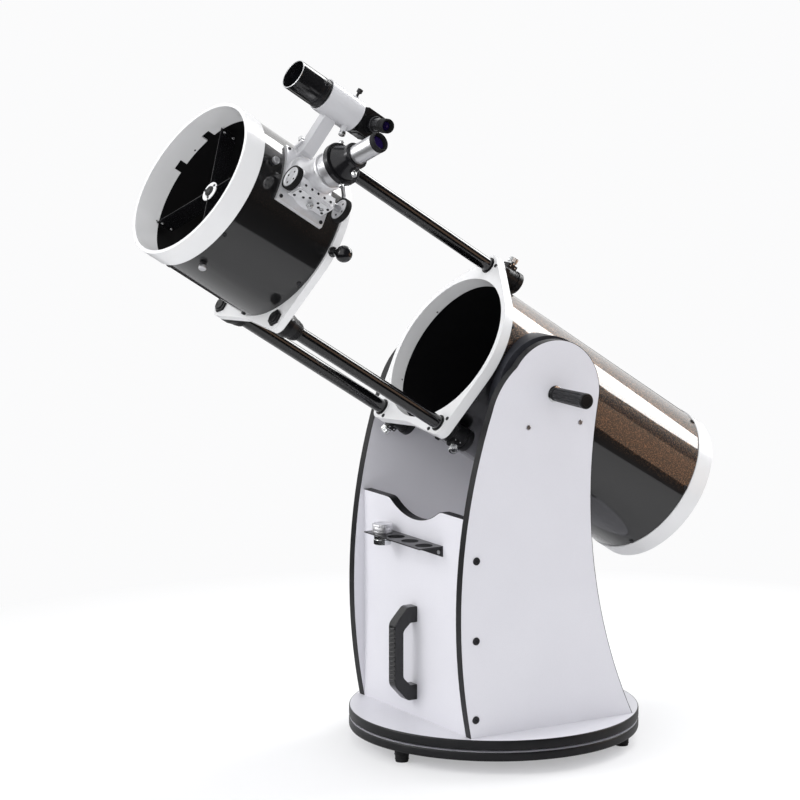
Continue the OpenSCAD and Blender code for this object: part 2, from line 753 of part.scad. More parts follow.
module adapter_screw() color("silver") on_focuser() translate([0, 0, 258])
    rotate([0, 0, -68]) rotate([0, 90, 0]) {
        translate([0, 0, 16.1]) cylinder(r = 2, h = 12);
        translate([0, 0, 25.5]) knurled(4.8, 7, 12, 0.7);
    }

module eyepiece() color("silver") on_focuser() difference() {
    union() {
        translate([0, 0, 244]) cylinder(r = 15.875, h = 40);
        translate([0, 0, eyepiece_z + fit_gap]) cylinder(r = 17, h = 50);
        translate([0, 0, 322]) cylinder(r1 = 17.6, r2 = 16.8, h = eyepiece_end_z - 322);
    }
    translate([0, 0, 240]) cylinder(r = 13.5, h = 30);
    translate([0, 0, 318]) cylinder(r = 12.5 + fit_gap, h = 20);
    translate([0, 0, 260]) cylinder(r = 11.5, h = 70);
}

module eyepiece_lens() color("mediumpurple") on_focuser() {
    translate([0, 0, 318 + fit_gap]) cylinder(r = 12.5, h = 4);
    translate([0, 0, 322]) cylinder(r1 = 12.5, r2 = 9, h = 1.5);
}

// ---------- finder ----------

module finder_screw_holes(a) rotate([0, 0, a]) translate([10, 0, 583]) rotate([0, 90, 0])
    cylinder(r = 2.5 + run_gap, h = 60);

// Flared foot and leaning stem of the finder bracket, seen along the tube
module finder_stem_outline()
    polygon([shoe_point(fit_gap, 8.9), shoe_point(fit_gap, -8.9), shoe_point(12, -8.9),
        [stem_x + 10, stem_v], [finder_x + 9, finder_v - 20], [finder_x - 11, finder_v - 20],
        [stem_x - 10, stem_v], shoe_point(shoe_wall + 0.5, 8.9)]);

// A point at height h above the shoe's floor and t across it
function shoe_point(h, t) = [(shoe_floor + h) * cos(shoe_phi) - t * sin(shoe_phi),
    (shoe_floor + h) * sin(shoe_phi) + t * cos(shoe_phi)];

module finder_bracket() color("white") {
    on_finder() difference() {
        union() {
            shell(bracket_r, 27.6, bracket_end_s, bracket_front_s);
            rotate([0, 0, -66]) translate([27.7, 0, 583]) rotate([0, 90, 0])
                cylinder(r = 5, h = 15);
        }
        finder_screw_holes(86);
        finder_screw_holes(176);
    }
    on_tube() translate([0, 0, shoe_s + 4]) linear_extrude(shoe_l - 8) difference() {
        finder_stem_outline();
        translate([finder_x, finder_v]) circle(r = bracket_r - 1.2);
    }
}

module finder_adjuster(a) color("silver") on_finder(583) rotate([0, 0, a])
    rotate([0, 90, 0]) {
        translate([0, 0, 23.2]) cylinder(r = 2.5, h = 15);
        translate([0, 0, 38]) knurled(5, 7, 12, 0.8);
    }

module finder_adjuster_1() finder_adjuster(86);
module finder_adjuster_2() finder_adjuster(176);

module finder_shoe_screw() color("silver") on_tube() rotate([0, 0, shoe_phi])
    translate([shoe_screw_r, 9, shoe_s + shoe_screw_h]) rotate([-90, 0, 0]) {
        cylinder(r = 2.5, h = 16);
        translate([0, 0, 5.1]) cylinder(r = 5, h = 4);
        translate([0, 0, 14]) knurled(5.5, 9, 14, 0.8);
    }

module finder_o_ring() color("black") on_finder(637) rotate_extrude() translate([25.8, 0])
    circle(r = 1.7, $fn = 24);

module finder_tube() color("black") on_finder() {
    difference() {
        shell(finder_r, 24.8, 661, finder_front_s);
        translate([0, 0, finder_front_s - 3]) cylinder(r1 = 24.8, r2 = 26, h = 3.1);
    }
    shell(finder_r, 23, bracket_front_s + 0.8, 661.01);
    shell(23.9, 21.5, 600, bracket_front_s + 1);
    shell(22, 19.5, 562, 601);
}

module finder_objective() color("lightsteelblue") on_finder() {
    translate([0, 0, 663]) cylinder(r = 24.7, h = 7);
    translate([0, 0, 670]) cylinder(r1 = 24.7, r2 = 16, h = 2.4);
}

module finder_diagonal() color("black") on_finder(diagonal_s) difference() {
    union() {
        translate([-22, -23, -22]) cube([44, 46, 39]);
        cylinder(r1 = 23, r2 = 24.5, h = 24.3);
        along_x(20) cylinder(r = 16, h = 8);
    }
    translate([0, 0, 10]) cylinder(r = 22 + fit_gap, h = 30);
    along_x(-2) cylinder(r = 12.1 + run_gap, h = 60);
    rotate([0, 45, 0]) translate([-60, -60, -62]) cube([120, 120, 40]);
}

module finder_eyepiece() color("black") on_finder(diagonal_s) difference() {
    union() {
        along_x(4) cylinder(r = 12.1, h = 40);
        along_x(30) knurled(14.5, 12, 20, 1);
        along_x(41) cylinder(r1 = 12, r2 = 10.5, h = 20);
        along_x(60) cylinder(r = 12.6, h = 20);
    }
    along_x(0) cylinder(r = 9, h = 68);
    along_x(74) cylinder(r1 = 7, r2 = 10, h = 7);
    along_x(60) cylinder(r = 7, h = 20);
}

ground_board();
feet();
azimuth_pads();
pivot_bolt();
turntable_board();
side_board_right();
side_board_left();
front_board();
board_edging();
base_fasteners();
bearing_posts();
carry_handle();
eyepiece_rack();
spare_eyepiece();
altitude_bearings();
tension_handle_right();
tension_handle_left();
lower_tube();
mid_ring();
rear_ring();
lower_tube_screws();
rod_clamps();
rod_lock_screw_1();
rod_lock_screw_2();
rod_lock_screw_3();
collimation_springs();
mirror_cell();
mirror_clips();
primary_mirror();
collimation_knob_1();
collimation_knob_2();
collimation_knob_3();
truss_rods();
rod_sockets();
rod_caps();
upper_ring();
upper_tube();
front_ring();
upper_tube_screws();
guide_knob();
spider();
secondary_holder();
secondary_mirror();
focuser_base();
drawtube();
focus_knobs();
focus_lock_screw();
eyepiece_adapter();
adapter_screw();
eyepiece();
eyepiece_lens();
finder_bracket();
finder_adjuster_1();
finder_adjuster_2();
finder_shoe_screw();
finder_o_ring();
finder_tube();
finder_objective();
finder_diagonal();
finder_eyepiece();
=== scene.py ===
"""Looks of a collapsible-truss Dobsonian telescope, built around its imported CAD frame."""

import json
import math

import bpy
from mathutils import Matrix, Vector


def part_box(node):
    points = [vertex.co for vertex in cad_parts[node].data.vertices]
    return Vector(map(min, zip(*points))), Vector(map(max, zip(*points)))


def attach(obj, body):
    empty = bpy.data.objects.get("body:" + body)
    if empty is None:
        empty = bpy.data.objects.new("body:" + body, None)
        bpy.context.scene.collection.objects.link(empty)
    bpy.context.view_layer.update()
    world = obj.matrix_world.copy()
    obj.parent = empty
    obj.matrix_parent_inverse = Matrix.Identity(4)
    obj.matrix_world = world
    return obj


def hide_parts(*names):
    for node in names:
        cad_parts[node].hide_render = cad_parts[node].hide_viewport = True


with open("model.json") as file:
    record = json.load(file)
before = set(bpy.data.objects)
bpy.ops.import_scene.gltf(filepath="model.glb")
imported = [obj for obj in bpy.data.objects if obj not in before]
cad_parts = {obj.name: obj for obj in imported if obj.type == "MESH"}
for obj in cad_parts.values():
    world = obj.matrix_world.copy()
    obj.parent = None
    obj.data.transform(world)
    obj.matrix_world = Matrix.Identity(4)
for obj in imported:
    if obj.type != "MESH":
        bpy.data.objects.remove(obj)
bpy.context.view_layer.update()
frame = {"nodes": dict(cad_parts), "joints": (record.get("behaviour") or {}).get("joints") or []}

MM = 0.001
JOINTS = {j["name"]: j for j in frame["joints"]}


def joint_pos(name):
    return Vector(JOINTS[name]["pos_m"])


def joint_axis(name):
    return Vector(JOINTS[name]["axis"]).normalized()


# ---------- frames: local millimetres to row-frame metres ----------


def frame_matrix(origin, x_axis, y_axis, z_axis):
    turn = Matrix((x_axis, y_axis, z_axis)).transposed().to_4x4()
    return Matrix.Translation(origin) @ turn @ Matrix.Scale(MM, 4)


WORLD = Matrix.Scale(MM, 4)
PIVOT = joint_pos("altitude")
ALONG = joint_axis("truss_slide")
ACROSS = Vector((1, 0, 0))
UPPER = ALONG.cross(ACROSS)
TUBE = frame_matrix(PIVOT, ACROSS, UPPER, ALONG)
OUT = joint_axis("drawtube_slide")
AROUND = ALONG.cross(OUT)
FOCUS_PHI = math.atan2(OUT.dot(UPPER), OUT.dot(ACROSS))
FOCUS_S = (joint_pos("focus_turn") - PIVOT).dot(ALONG) / MM
FOCUSER = frame_matrix(PIVOT + ALONG * FOCUS_S * MM, -ALONG, AROUND, OUT)
FINDER_AT = joint_pos("finder_tilt_1")
FINDER_S = (FINDER_AT - PIVOT).dot(ALONG) / MM
FINDER = frame_matrix(FINDER_AT - ALONG * FINDER_S * MM, ACROSS, UPPER, ALONG)


def spin(degrees, axis="Z"):
    return Matrix.Rotation(math.radians(degrees), 4, axis)


def polar(phi, r, s, base=TUBE):
    """A frame on the tube at angle phi (degrees), radius r, station s: X outward, Z up the tube."""
    return base @ spin(phi) @ Matrix.Translation((r, 0, s))


TURN_X = spin(90, "Y")


def outward(phi, r, s, base=TUBE):
    """Like polar, with Z pointing outward."""
    return polar(phi, r, s, base) @ TURN_X


# ---------- materials ----------

FLAKES_PER_M = 500


class Look:
    """A procedural material, with its textures in row-frame metres."""

    def __init__(self, name, colour, roughness, metallic=0.0, coat=0.0, coat_roughness=0.04, round_mm=0.0):
        self.material = bpy.data.materials.new(name)
        self.material.use_nodes = True
        self.tree = self.material.node_tree
        self.bsdf = self.tree.nodes["Principled BSDF"]
        self.colour = self.rgb(colour)
        self.rough = roughness
        self.bsdf.inputs["Base Color"].default_value = (*colour, 1)
        self.bsdf.inputs["Roughness"].default_value = roughness
        self.bsdf.inputs["Metallic"].default_value = metallic
        self.bsdf.inputs["Coat Weight"].default_value = coat
        self.bsdf.inputs["Coat Roughness"].default_value = coat_roughness
        self.where = self.node("ShaderNodeTexCoord").outputs["Object"]
        self.normal = None
        if round_mm:
            self.normal = self.node("ShaderNodeBevel", round_mm * MM, samples=4).outputs[0]
            self.feed(self.bsdf.inputs["Normal"], self.normal)
            self.feed(self.bsdf.inputs["Coat Normal"], self.normal)

    def node(self, kind, *links, **values):
        made = self.tree.nodes.new(kind)
        for key, value in values.items():
            setattr(made, key, value)
        for index, source in enumerate(links):
            self.feed(made.inputs[index], source)
        return made

    def feed(self, target, source):
        if source is None:
            return
        if isinstance(source, bpy.types.NodeSocket):
            self.tree.links.new(source, target)
        else:
            target.default_value = source

    def rgb(self, colour):
        made = self.tree.nodes.new("ShaderNodeRGB")
        made.outputs[0].default_value = (*colour, 1)
        return made.outputs[0]

    def math(self, operation, a, b=0.0):
        return self.node("ShaderNodeMath", a, b, operation=operation).outputs[0]

    def span(self, value, low, high, to_low=0.0, to_high=1.0):
        made = self.node("ShaderNodeMapRange", value, low, high, to_low, to_high)
        return made.outputs[0]

    def noise(self, scale, detail=3.0, stretch=None):
        made = self.node("ShaderNodeTexNoise")
        made.inputs["Scale"].default_value = scale
        made.inputs["Detail"].default_value = detail
        self.feed(made.inputs["Vector"], self.stretched(stretch))
        return made.outputs["Fac"]

    def cells(self, scale, output="Distance", stretch=None):
        made = self.node("ShaderNodeTexVoronoi")
        made.inputs["Scale"].default_value = scale
        self.feed(made.inputs["Vector"], self.stretched(stretch))
        return made.outputs[output]

    def stretched(self, stretch):
        if stretch is None:
            return self.where
        made = self.node("ShaderNodeMapping", self.where)
        made.inputs["Scale"].default_value = stretch
        return made.outputs[0]

    def mix(self, amount, a, b):
        made = self.node("ShaderNodeMix", data_type="RGBA")
        self.feed(made.inputs["Factor"], amount)
        self.feed(made.inputs[6], a)
        self.feed(made.inputs[7], b)
        return made.outputs[2]

    def paint(self, amount, colour):
        """Lays another colour over the present one by amount."""
        self.colour = self.mix(amount, self.colour, self.rgb(colour))
        self.feed(self.bsdf.inputs["Base Color"], self.colour)

    def roughen(self, amount, low, high):
        self.feed(self.bsdf.inputs["Roughness"], self.span(amount, 0, 1, low, high))

    def bump(self, height, depth, strength=1.0):
        """Raises the surface by height times depth millimetres."""
        made = self.node("ShaderNodeBump")
        made.inputs["Strength"].default_value = strength
        made.inputs["Distance"].default_value = depth * MM
        self.feed(made.inputs["Height"], height)
        self.feed(made.inputs["Normal"], self.normal)
        self.normal = made.outputs[0]
        self.feed(self.bsdf.inputs["Normal"], self.normal)

    def edges(self, radius=0.7):
        """About 1 along sharp edges, 0 on flat faces."""
        bent = self.node("ShaderNodeBevel", radius * MM, samples=4).outputs[0]
        flat = self.node("ShaderNodeNewGeometry").outputs["Normal"]
        dot = self.node("ShaderNodeVectorMath", bent, flat, operation="DOT_PRODUCT")
        worn = self.span(dot.outputs["Value"], 0.995, 0.93)
        return self.math("MULTIPLY", worn, self.span(self.noise(180), 0.35, 0.65))

    def wear(self, colour, radius=0.7, strength=0.5):
        self.paint(self.math("MULTIPLY", self.edges(radius), strength), colour)

    def along(self, axis, origin):
        """Distance in metres along axis from origin."""
        shift = self.node("ShaderNodeVectorMath", self.where, tuple(origin), operation="SUBTRACT")
        dot = self.node("ShaderNodeVectorMath", shift.outputs[0], tuple(axis), operation="DOT_PRODUCT")
        return dot.outputs["Value"]

    def radius(self, axis_x, axis_y, origin):
        """Distance from the line through origin that is square to both axes."""
        x = self.along(axis_x, origin)
        y = self.along(axis_y, origin)
        total = self.math("ADD", self.math("MULTIPLY", x, x), self.math("MULTIPLY", y, y))
        return self.math("SQRT", total)


def board_look(name, edge_radius=None):
    """White melamine with a fine leathery grain. A round board can have a black edge."""
    look = Look(name, (0.635, 0.63, 0.67), 0.42, round_mm=0.4)
    look.paint(look.span(look.noise(9), 0.35, 0.65, 0, 0.5), (0.66, 0.655, 0.695))
    look.paint(look.span(look.noise(900), 0.5, 0.75, 0, 0.35), (0.56, 0.56, 0.6))
    look.roughen(look.noise(260), 0.34, 0.52)
    look.bump(look.cells(750), 0.03, 0.35)
    look.bump(look.noise(420), 0.05, 0.3)
    if edge_radius:
        rim = look.radius((1, 0, 0), (0, 1, 0), (0, 0, 0))
        look.paint(look.math("GREATER_THAN", rim, edge_radius * MM), (0.012, 0.012, 0.014))
    return look.material


def edging_look():
    look = Look("edging", (0.006, 0.006, 0.007), 0.36, round_mm=0.4)
    look.bsdf.inputs["Specular IOR Level"].default_value = 0.3
    look.paint(look.span(look.noise(40), 0.4, 0.7, 0, 0.6), (0.011, 0.011, 0.012))
    look.roughen(look.noise(300), 0.28, 0.48)
    look.bump(look.noise(500), 0.03, 0.4)
    look.wear((0.05, 0.05, 0.055), 0.5, 0.6)
    return look.material


def plastic_look(name, colour=(0.006, 0.006, 0.0065), low=0.26, high=0.42, grain=0.03, gloss=0.3):
    """Moulded black plastic with a spark-eroded grain."""
    look = Look(name, colour, low, round_mm=0.6)
    look.bsdf.inputs["Specular IOR Level"].default_value = gloss
    look.paint(look.span(look.noise(60), 0.4, 0.7, 0, 0.5), tuple(c * 1.9 for c in colour))
    look.roughen(look.noise(500), low, high)
    look.bump(look.noise(1500, 2), grain, 0.5)
    look.wear(tuple(min(1, c * 4 + 0.015) for c in colour), 0.5, 0.5)
    return look.material


def tube_look(name, strength):
    """Gloss black lacquer outside, with copper flakes painted only on faces turned towards the tube's upper
    side, as painted light where light falls from above. Flat black inside.
    """
    look = Look(name, (0.003, 0.003, 0.0035), 0.22, coat=1.0, coat_roughness=0.012)
    outside = look.math("GREATER_THAN", look.radius(ACROSS, UPPER, PIVOT), 144.3 * MM)
    look.feed(look.bsdf.inputs["Coat Weight"], outside)
    look.feed(look.bsdf.inputs["Roughness"], look.span(outside, 0, 1, 0.8, 0.42))
    look.feed(look.bsdf.inputs["Specular IOR Level"], look.span(outside, 0, 1, 0.15, 0.3))
    copper = look.node("ShaderNodeBsdfPrincipled", (0.85, 0.5, 0.28, 1), 1.0, 0.36)
    copper.inputs["Coat Weight"].default_value = 1.0
    for shader in (look.bsdf, copper):
        shader.inputs["Coat IOR"].default_value = 1.7
        shader.inputs["Coat Roughness"].default_value = 0.012
    grain = look.span(look.noise(FLAKES_PER_M, 2), 0.5, 0.66, 0, strength)
    # Painted light: flakes are shown only on faces turned towards the tube's upper side, where light falls on
    # them; faces turned away get none.
    normal = look.node("ShaderNodeNewGeometry").outputs["Normal"]
    painted_lit_side = look.node("ShaderNodeVectorMath", normal, tuple(UPPER), operation="DOT_PRODUCT")
    grain = look.math("MULTIPLY", grain, look.span(painted_lit_side.outputs["Value"], -0.1, 0.06))
    share = look.math("MULTIPLY", grain, outside)
    mixed = look.node("ShaderNodeMixShader", share, look.bsdf.outputs[0], copper.outputs[0])
    out = look.tree.nodes["Material Output"]
    look.tree.links.new(mixed.outputs[0], out.inputs["Surface"])
    return look.material


def white_paint_look(name, colour=(0.70, 0.70, 0.705)):
    """Powder coat with a faint orange-peel surface."""
    look = Look(name, colour, 0.32, coat=0.3, coat_roughness=0.1, round_mm=0.9)
    look.paint(look.span(look.noise(14), 0.35, 0.65, 0, 0.5), tuple(c * 0.96 for c in colour))
    look.roughen(look.noise(220), 0.26, 0.4)
    look.bump(look.noise(650), 0.04, 0.35)
    look.wear((0.62, 0.62, 0.63), 0.6, 0.5)
    return look.material


def rod_look():
    """Gloss black anodised tube with fine marks drawn along it."""
    look = Look("rod_black", (0.003, 0.003, 0.0035), 0.16, coat=0.8, coat_roughness=0.03, round_mm=0.4)
    look.paint(look.span(look.noise(900, 2), 0.6, 0.8, 0, 0.25), (0.01, 0.01, 0.011))
    look.roughen(look.noise(160), 0.1, 0.24)
    look.bump(look.noise(900), 0.01, 0.25)
    return look.material


def metal_look(name, colour, low, high, streak=None, grain=0.02, metallic=1.0, coat=0.0):
    """Bare or clear-coated metal with machining or casting texture."""
    look = Look(name, colour, low, metallic, coat, round_mm=0.4)
    look.paint(look.span(look.noise(120), 0.35, 0.7, 0, 0.5), tuple(c * 0.86 for c in colour))
    look.roughen(look.noise(800, 4, streak), low, high)
    look.bump(look.noise(900, 3, streak), grain, 0.4)
    look.wear(tuple(min(1.0, c * 1.2 + 0.05) for c in colour), 0.4, 0.6)
    return look.material


def rubber_look(name="rubber", colour=(0.007, 0.007, 0.0075)):
    look = Look(name, colour, 0.6, round_mm=0.5)
    look.bsdf.inputs["Specular IOR Level"].default_value = 0.25
    look.paint(look.span(look.noise(90), 0.4, 0.7, 0, 0.6), (0.014, 0.014, 0.015))
    look.roughen(look.noise(700), 0.5, 0.78)
    look.bump(look.noise(2400), 0.05, 0.5)
    return look.material


def mirror_look():
    look = Look("mirror", (0.93, 0.94, 0.95), 0.008, 1.0)
    look.roughen(look.noise(60), 0.004, 0.02)
    look.paint(look.span(look.noise(1200), 0.68, 0.75, 0, 0.25), (0.7, 0.72, 0.74))
    return look.material


def lens_look(name, deep, tint):
    """Coated glass: dark body colour, a painted tinted reflection in the base colour that grows towards the
    rim, and tinted coat and specular reflections.
    """
    look = Look(name, deep, 0.02, coat=1.0, coat_roughness=0.0)
    painted_reflection_facing = look.node("ShaderNodeLayerWeight").outputs["Facing"]
    # Painted reflection: the tint is laid into the base colour, stronger towards the rim.
    look.paint(look.span(painted_reflection_facing, 0.0, 0.9, 0.0, 0.12), tint)
    look.bsdf.inputs["Coat Tint"].default_value = (*tint, 1)
    look.bsdf.inputs["Specular Tint"].default_value = (*tint, 1)
    look.bsdf.inputs["IOR"].default_value = 1.9
    look.roughen(look.noise(90), 0.01, 0.05)
    return look.material


def foot_look():
    look = Look("pad_white", (0.7, 0.69, 0.65), 0.4)
    look.paint(look.span(look.noise(300), 0.4, 0.7, 0, 0.4), (0.55, 0.54, 0.5))
    look.roughen(look.noise(400), 0.3, 0.5)
    look.bump(look.noise(1200), 0.03, 0.3)
    return look.material


SPIN = (1, 1, 6)
GROUND_R = 264.0
BOARD = board_look("melamine")
GROUND = board_look("melamine_ground", 264.4)
EDGING = edging_look()
PLASTIC = plastic_look("black_plastic")
HANDLE = plastic_look("handle_plastic", low=0.16, high=0.26, grain=0.01, gloss=0.5)
SATIN = plastic_look("satin_plastic", (0.01, 0.01, 0.011), 0.34, 0.48, 0.05)
BEARING = plastic_look("bearing_plastic", (0.02, 0.021, 0.026), 0.38, 0.55, 0.05)
LOWER_TUBE = tube_look("tube_lower", 0.3)
UPPER_TUBE = tube_look("tube_upper", 0.02)
WHITE = white_paint_look("white_paint")
FINDER_WHITE = white_paint_look("finder_white", (0.55, 0.55, 0.57))
ROD = rod_look()
CHROME = metal_look("chrome", (0.78, 0.79, 0.8), 0.08, 0.2, None, 0.004)
STEEL = metal_look("steel", (0.58, 0.58, 0.6), 0.22, 0.38, SPIN)
BLACK_STEEL = metal_look("black_steel", (0.035, 0.035, 0.038), 0.25, 0.4, None, 0.02, 0.6)
CAST = metal_look("cast_silver", (0.78, 0.78, 0.8), 0.26, 0.4, None, 0.03, 0.55)
SILVER = metal_look("silver", (0.72, 0.72, 0.74), 0.3, 0.44, SPIN, 0.006, 0.9)
GREY_CAST = metal_look("grey_cast", (0.2, 0.21, 0.22), 0.4, 0.6, None, 0.1, 0.7)
ANODISED = metal_look("black_anodised", (0.014, 0.014, 0.016), 0.18, 0.32, None, 0.015, 0.5, 0.35)
GLOSS = metal_look("gloss_black", (0.008, 0.008, 0.009), 0.1, 0.2, None, 0.003, 0.2, 0.6)
RUBBER = rubber_look()
MIRROR = mirror_look()
EYE_GLASS = lens_look("eye_lens", (0.008, 0.004, 0.022), (0.4, 0.3, 0.75))
FRONT_GLASS = lens_look("front_lens", (0.01, 0.012, 0.016), (0.55, 0.62, 0.75))
PAD = foot_look()


# ---------- shapes: lists of (vertices, faces) in local millimetres ----------


def hexagon(angle):
    return 1 / math.cos((angle + math.pi / 6) % (math.pi / 3) - math.pi / 6)


def crosshead(angle):
    return 0.4 + 0.6 * abs(math.cos(2 * angle)) ** 6


def flutes(angle):
    return 1 - 0.14 * (0.5 + 0.5 * math.cos(10 * angle)) ** 2


def lobes(count, depth):
    """A radius factor with this many grooves round the part."""
    return lambda angle: 1 - depth * (0.5 + 0.5 * math.cos(count * angle))


def lathe(profile, n=48):
    """Turns (radius, height[, factor of angle]) points round Z, as a ring if neither end is on the axis."""
    verts, rows, faces = [], [], []
    for point in profile:
        r, z = point[0], point[1]
        shape = point[2] if len(point) > 2 else None
        if r < 1e-6:
            rows.append([len(verts)])
            verts.append((0, 0, z))
            continue
        rows.append(list(range(len(verts), len(verts) + n)))
        for k in range(n):
            angle = 2 * math.pi * k / n
            size = r * shape(angle) if shape else r
            verts.append((size * math.cos(angle), size * math.sin(angle), z))
    pairs = list(zip(rows, rows[1:]))
    if len(rows[0]) > 1 and len(rows[-1]) > 1:
        pairs.append((rows[-1], rows[0]))
    for low, high in pairs:
        for k in range(n):
            j = (k + 1) % n
            corner = [low[k % len(low)], low[j % len(low)], high[j % len(high)], high[k % len(high)]]
            faces.append(tuple(dict.fromkeys(corner)))
    return verts, faces


def tube_profile(outer, inner, z0, z1, chamfer=0.6):
    c = chamfer
    return [(outer - c, z0), (outer, z0 + c), (outer, z1 - c), (outer - c, z1), (inner + c, z1),
            (inner, z1 - c), (inner, z0 + c), (inner + c, z0)]


def pipe(outer, inner, z0, z1, n=64, chamfer=0.6):
    return lathe(tube_profile(outer, inner, z0, z1, chamfer), n)


def prism(outline, z0, z1):
    n = len(outline)
    verts = [(x, y, z) for z in (z0, z1) for x, y in outline]
    faces = [tuple(reversed(range(n))), tuple(range(n, 2 * n))]
    faces += [(k, (k + 1) % n, n + (k + 1) % n, n + k) for k in range(n)]
    return verts, faces


def rounded(points, radius, steps=5):
    """An outline with its corners rounded. radius is one value or one per corner."""
    out = []
    count = len(points)
    for i in range(count):
        r = radius[i] if isinstance(radius, (list, tuple)) else radius
        here = Vector(points[i])
        before = (Vector(points[i - 1]) - here)
        after = (Vector(points[(i + 1) % count]) - here)
        a, b = before.normalized(), after.normalized()
        half = math.acos(max(-1, min(1, a.dot(b)))) / 2
        if r <= 0:
            out.append(tuple(here))
            continue
        reach = min(r / math.tan(half), before.length * 0.49, after.length * 0.49)
        for k in range(steps + 1):
            t = k / steps
            p = here + a * reach * (1 - t) ** 2 + b * reach * t ** 2
            out.append((p.x, p.y))
    return out


def sweep(path, radius, n=12):
    """A round bar of the given radius along a list of points."""
    verts, faces = [], []
    points = [Vector(p) for p in path]
    side = Vector((0, 0, 1))
    for i, p in enumerate(points):
        ahead = points[min(i + 1, len(points) - 1)] - points[max(i - 1, 0)]
        ahead.normalize()
        if abs(ahead.dot(side)) > 0.98:
            side = Vector((1, 0, 0))
        x = (side - ahead * ahead.dot(side)).normalized()
        y = ahead.cross(x)
        side = x
        for k in range(n):
            a = 2 * math.pi * k / n
            verts.append(tuple(p + radius * (math.cos(a) * x + math.sin(a) * y)))
    for i in range(len(points) - 1):
        for k in range(n):
            j = (k + 1) % n
            faces.append((i * n + k, i * n + j, (i + 1) * n + j, (i + 1) * n + k))
    last = (len(points) - 1) * n
    faces.append(tuple(reversed(range(n))))
    faces.append(tuple(range(last, last + n)))
    return verts, faces


def knurled_head(r, h, z=0.0, teeth=22, chamfer=0.8):
    """A knurled cylinder with chamfered ends and a dished top."""
    cut = lobes(teeth, 0.09)
    c = chamfer
    profile = [(0, z), (r - c, z), (r, z + c, cut), (r, z + h - c, cut), (r - c, z + h),
               (r * 0.55, z + h), (r * 0.5, z + h - 0.5), (0, z + h - 0.5)]
    return lathe(profile, teeth * 4)


def rod(r, z0, z1, n=24, chamfer=0.4):
    c = chamfer
    return lathe([(0, z0), (r - c, z0), (r, z0 + c), (r, z1 - c), (r - c, z1), (0, z1)], n)


def recess_screw(r, h, z=0.0, drive=hexagon, size=0.5, n=48):
    """A domed screw head with a drive recess."""
    dome = [(r, z - 0.3), (r, z + h * 0.4), (r * 0.94, z + h * 0.75), (r * 0.78, z + h)]
    recess = [(r * size, z + h, drive), (r * size, z + h * 0.4, drive), (0, z + h * 0.35)]
    return lathe([(0, z - 0.3)] + dome + recess, n)


def threaded(r, z0, z1, pitch=0.9):
    """A rod with thread ridges."""
    turns = max(1, int((z1 - z0) / pitch))
    step = (z1 - z0) / turns
    ridges = [(r * (1 if k % 2 else 0.88), z0 + step * k / 2) for k in range(2 * turns + 1)]
    return lathe([(0, z0)] + ridges + [(0, z1)], 20)


def torus(ring, r, z, n=64, m=10):
    """A round bead round Z."""
    turn = [2 * math.pi * k / m for k in range(m)]
    return lathe([(ring + r * math.cos(a), z + r * math.sin(a)) for a in turn], n)


def box(x0, x1, y0, y1, z0, z1, r=1.0):
    corners = [(x0, y0), (x1, y0), (x1, y1), (x0, y1)]
    return prism(rounded(corners, r), z0, z1)


class Piece:
    """One visible piece: closed shells, each with its own material, riding on a CAD body."""

    def __init__(self, name, body):
        self.name, self.body = name, body
        self.verts, self.faces, self.face_slots, self.materials = [], [], [], []

    def add(self, shape, matrix, material):
        verts, faces = shape
        if material not in self.materials:
            self.materials.append(material)
        base = len(self.verts)
        self.verts += [matrix @ Vector(v) for v in verts]
        self.faces += [tuple(base + i for i in face) for face in faces]
        self.face_slots += [self.materials.index(material)] * len(faces)
        return self

    def turned(self, profile, n, matrix, material):
        return self.add(lathe(profile, n), matrix, material)

    def done(self, bevel=0.0, replaces=(), angle=32):
        mesh = bpy.data.meshes.new(self.name)
        mesh.from_pydata(self.verts, [], self.faces)
        mesh.polygons.foreach_set("material_index", self.face_slots)
        for material in self.materials:
            mesh.materials.append(material)
        obj = bpy.data.objects.new(self.name, mesh)
        bpy.context.scene.collection.objects.link(obj)
        smooth(obj, bevel, angle)
        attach(obj, self.body)
        if replaces:
            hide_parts(*replaces)
        return obj


def smooth(obj, bevel=0.0, angle=32):
    mesh = obj.data
    if bevel:
        rim = obj.modifiers.new("bevel", "BEVEL")
        rim.width = bevel * MM
        rim.segments = 2
        rim.limit_method = "ANGLE"
        rim.angle_limit = math.radians(angle)
        rim.use_clamp_overlap = True
        rim.harden_normals = False
    mesh.polygons.foreach_set("use_smooth", [True] * len(mesh.polygons))
    mesh.set_sharp_from_angle(angle=math.radians(angle))


# ---------- CAD nodes that stay, with their finish ----------

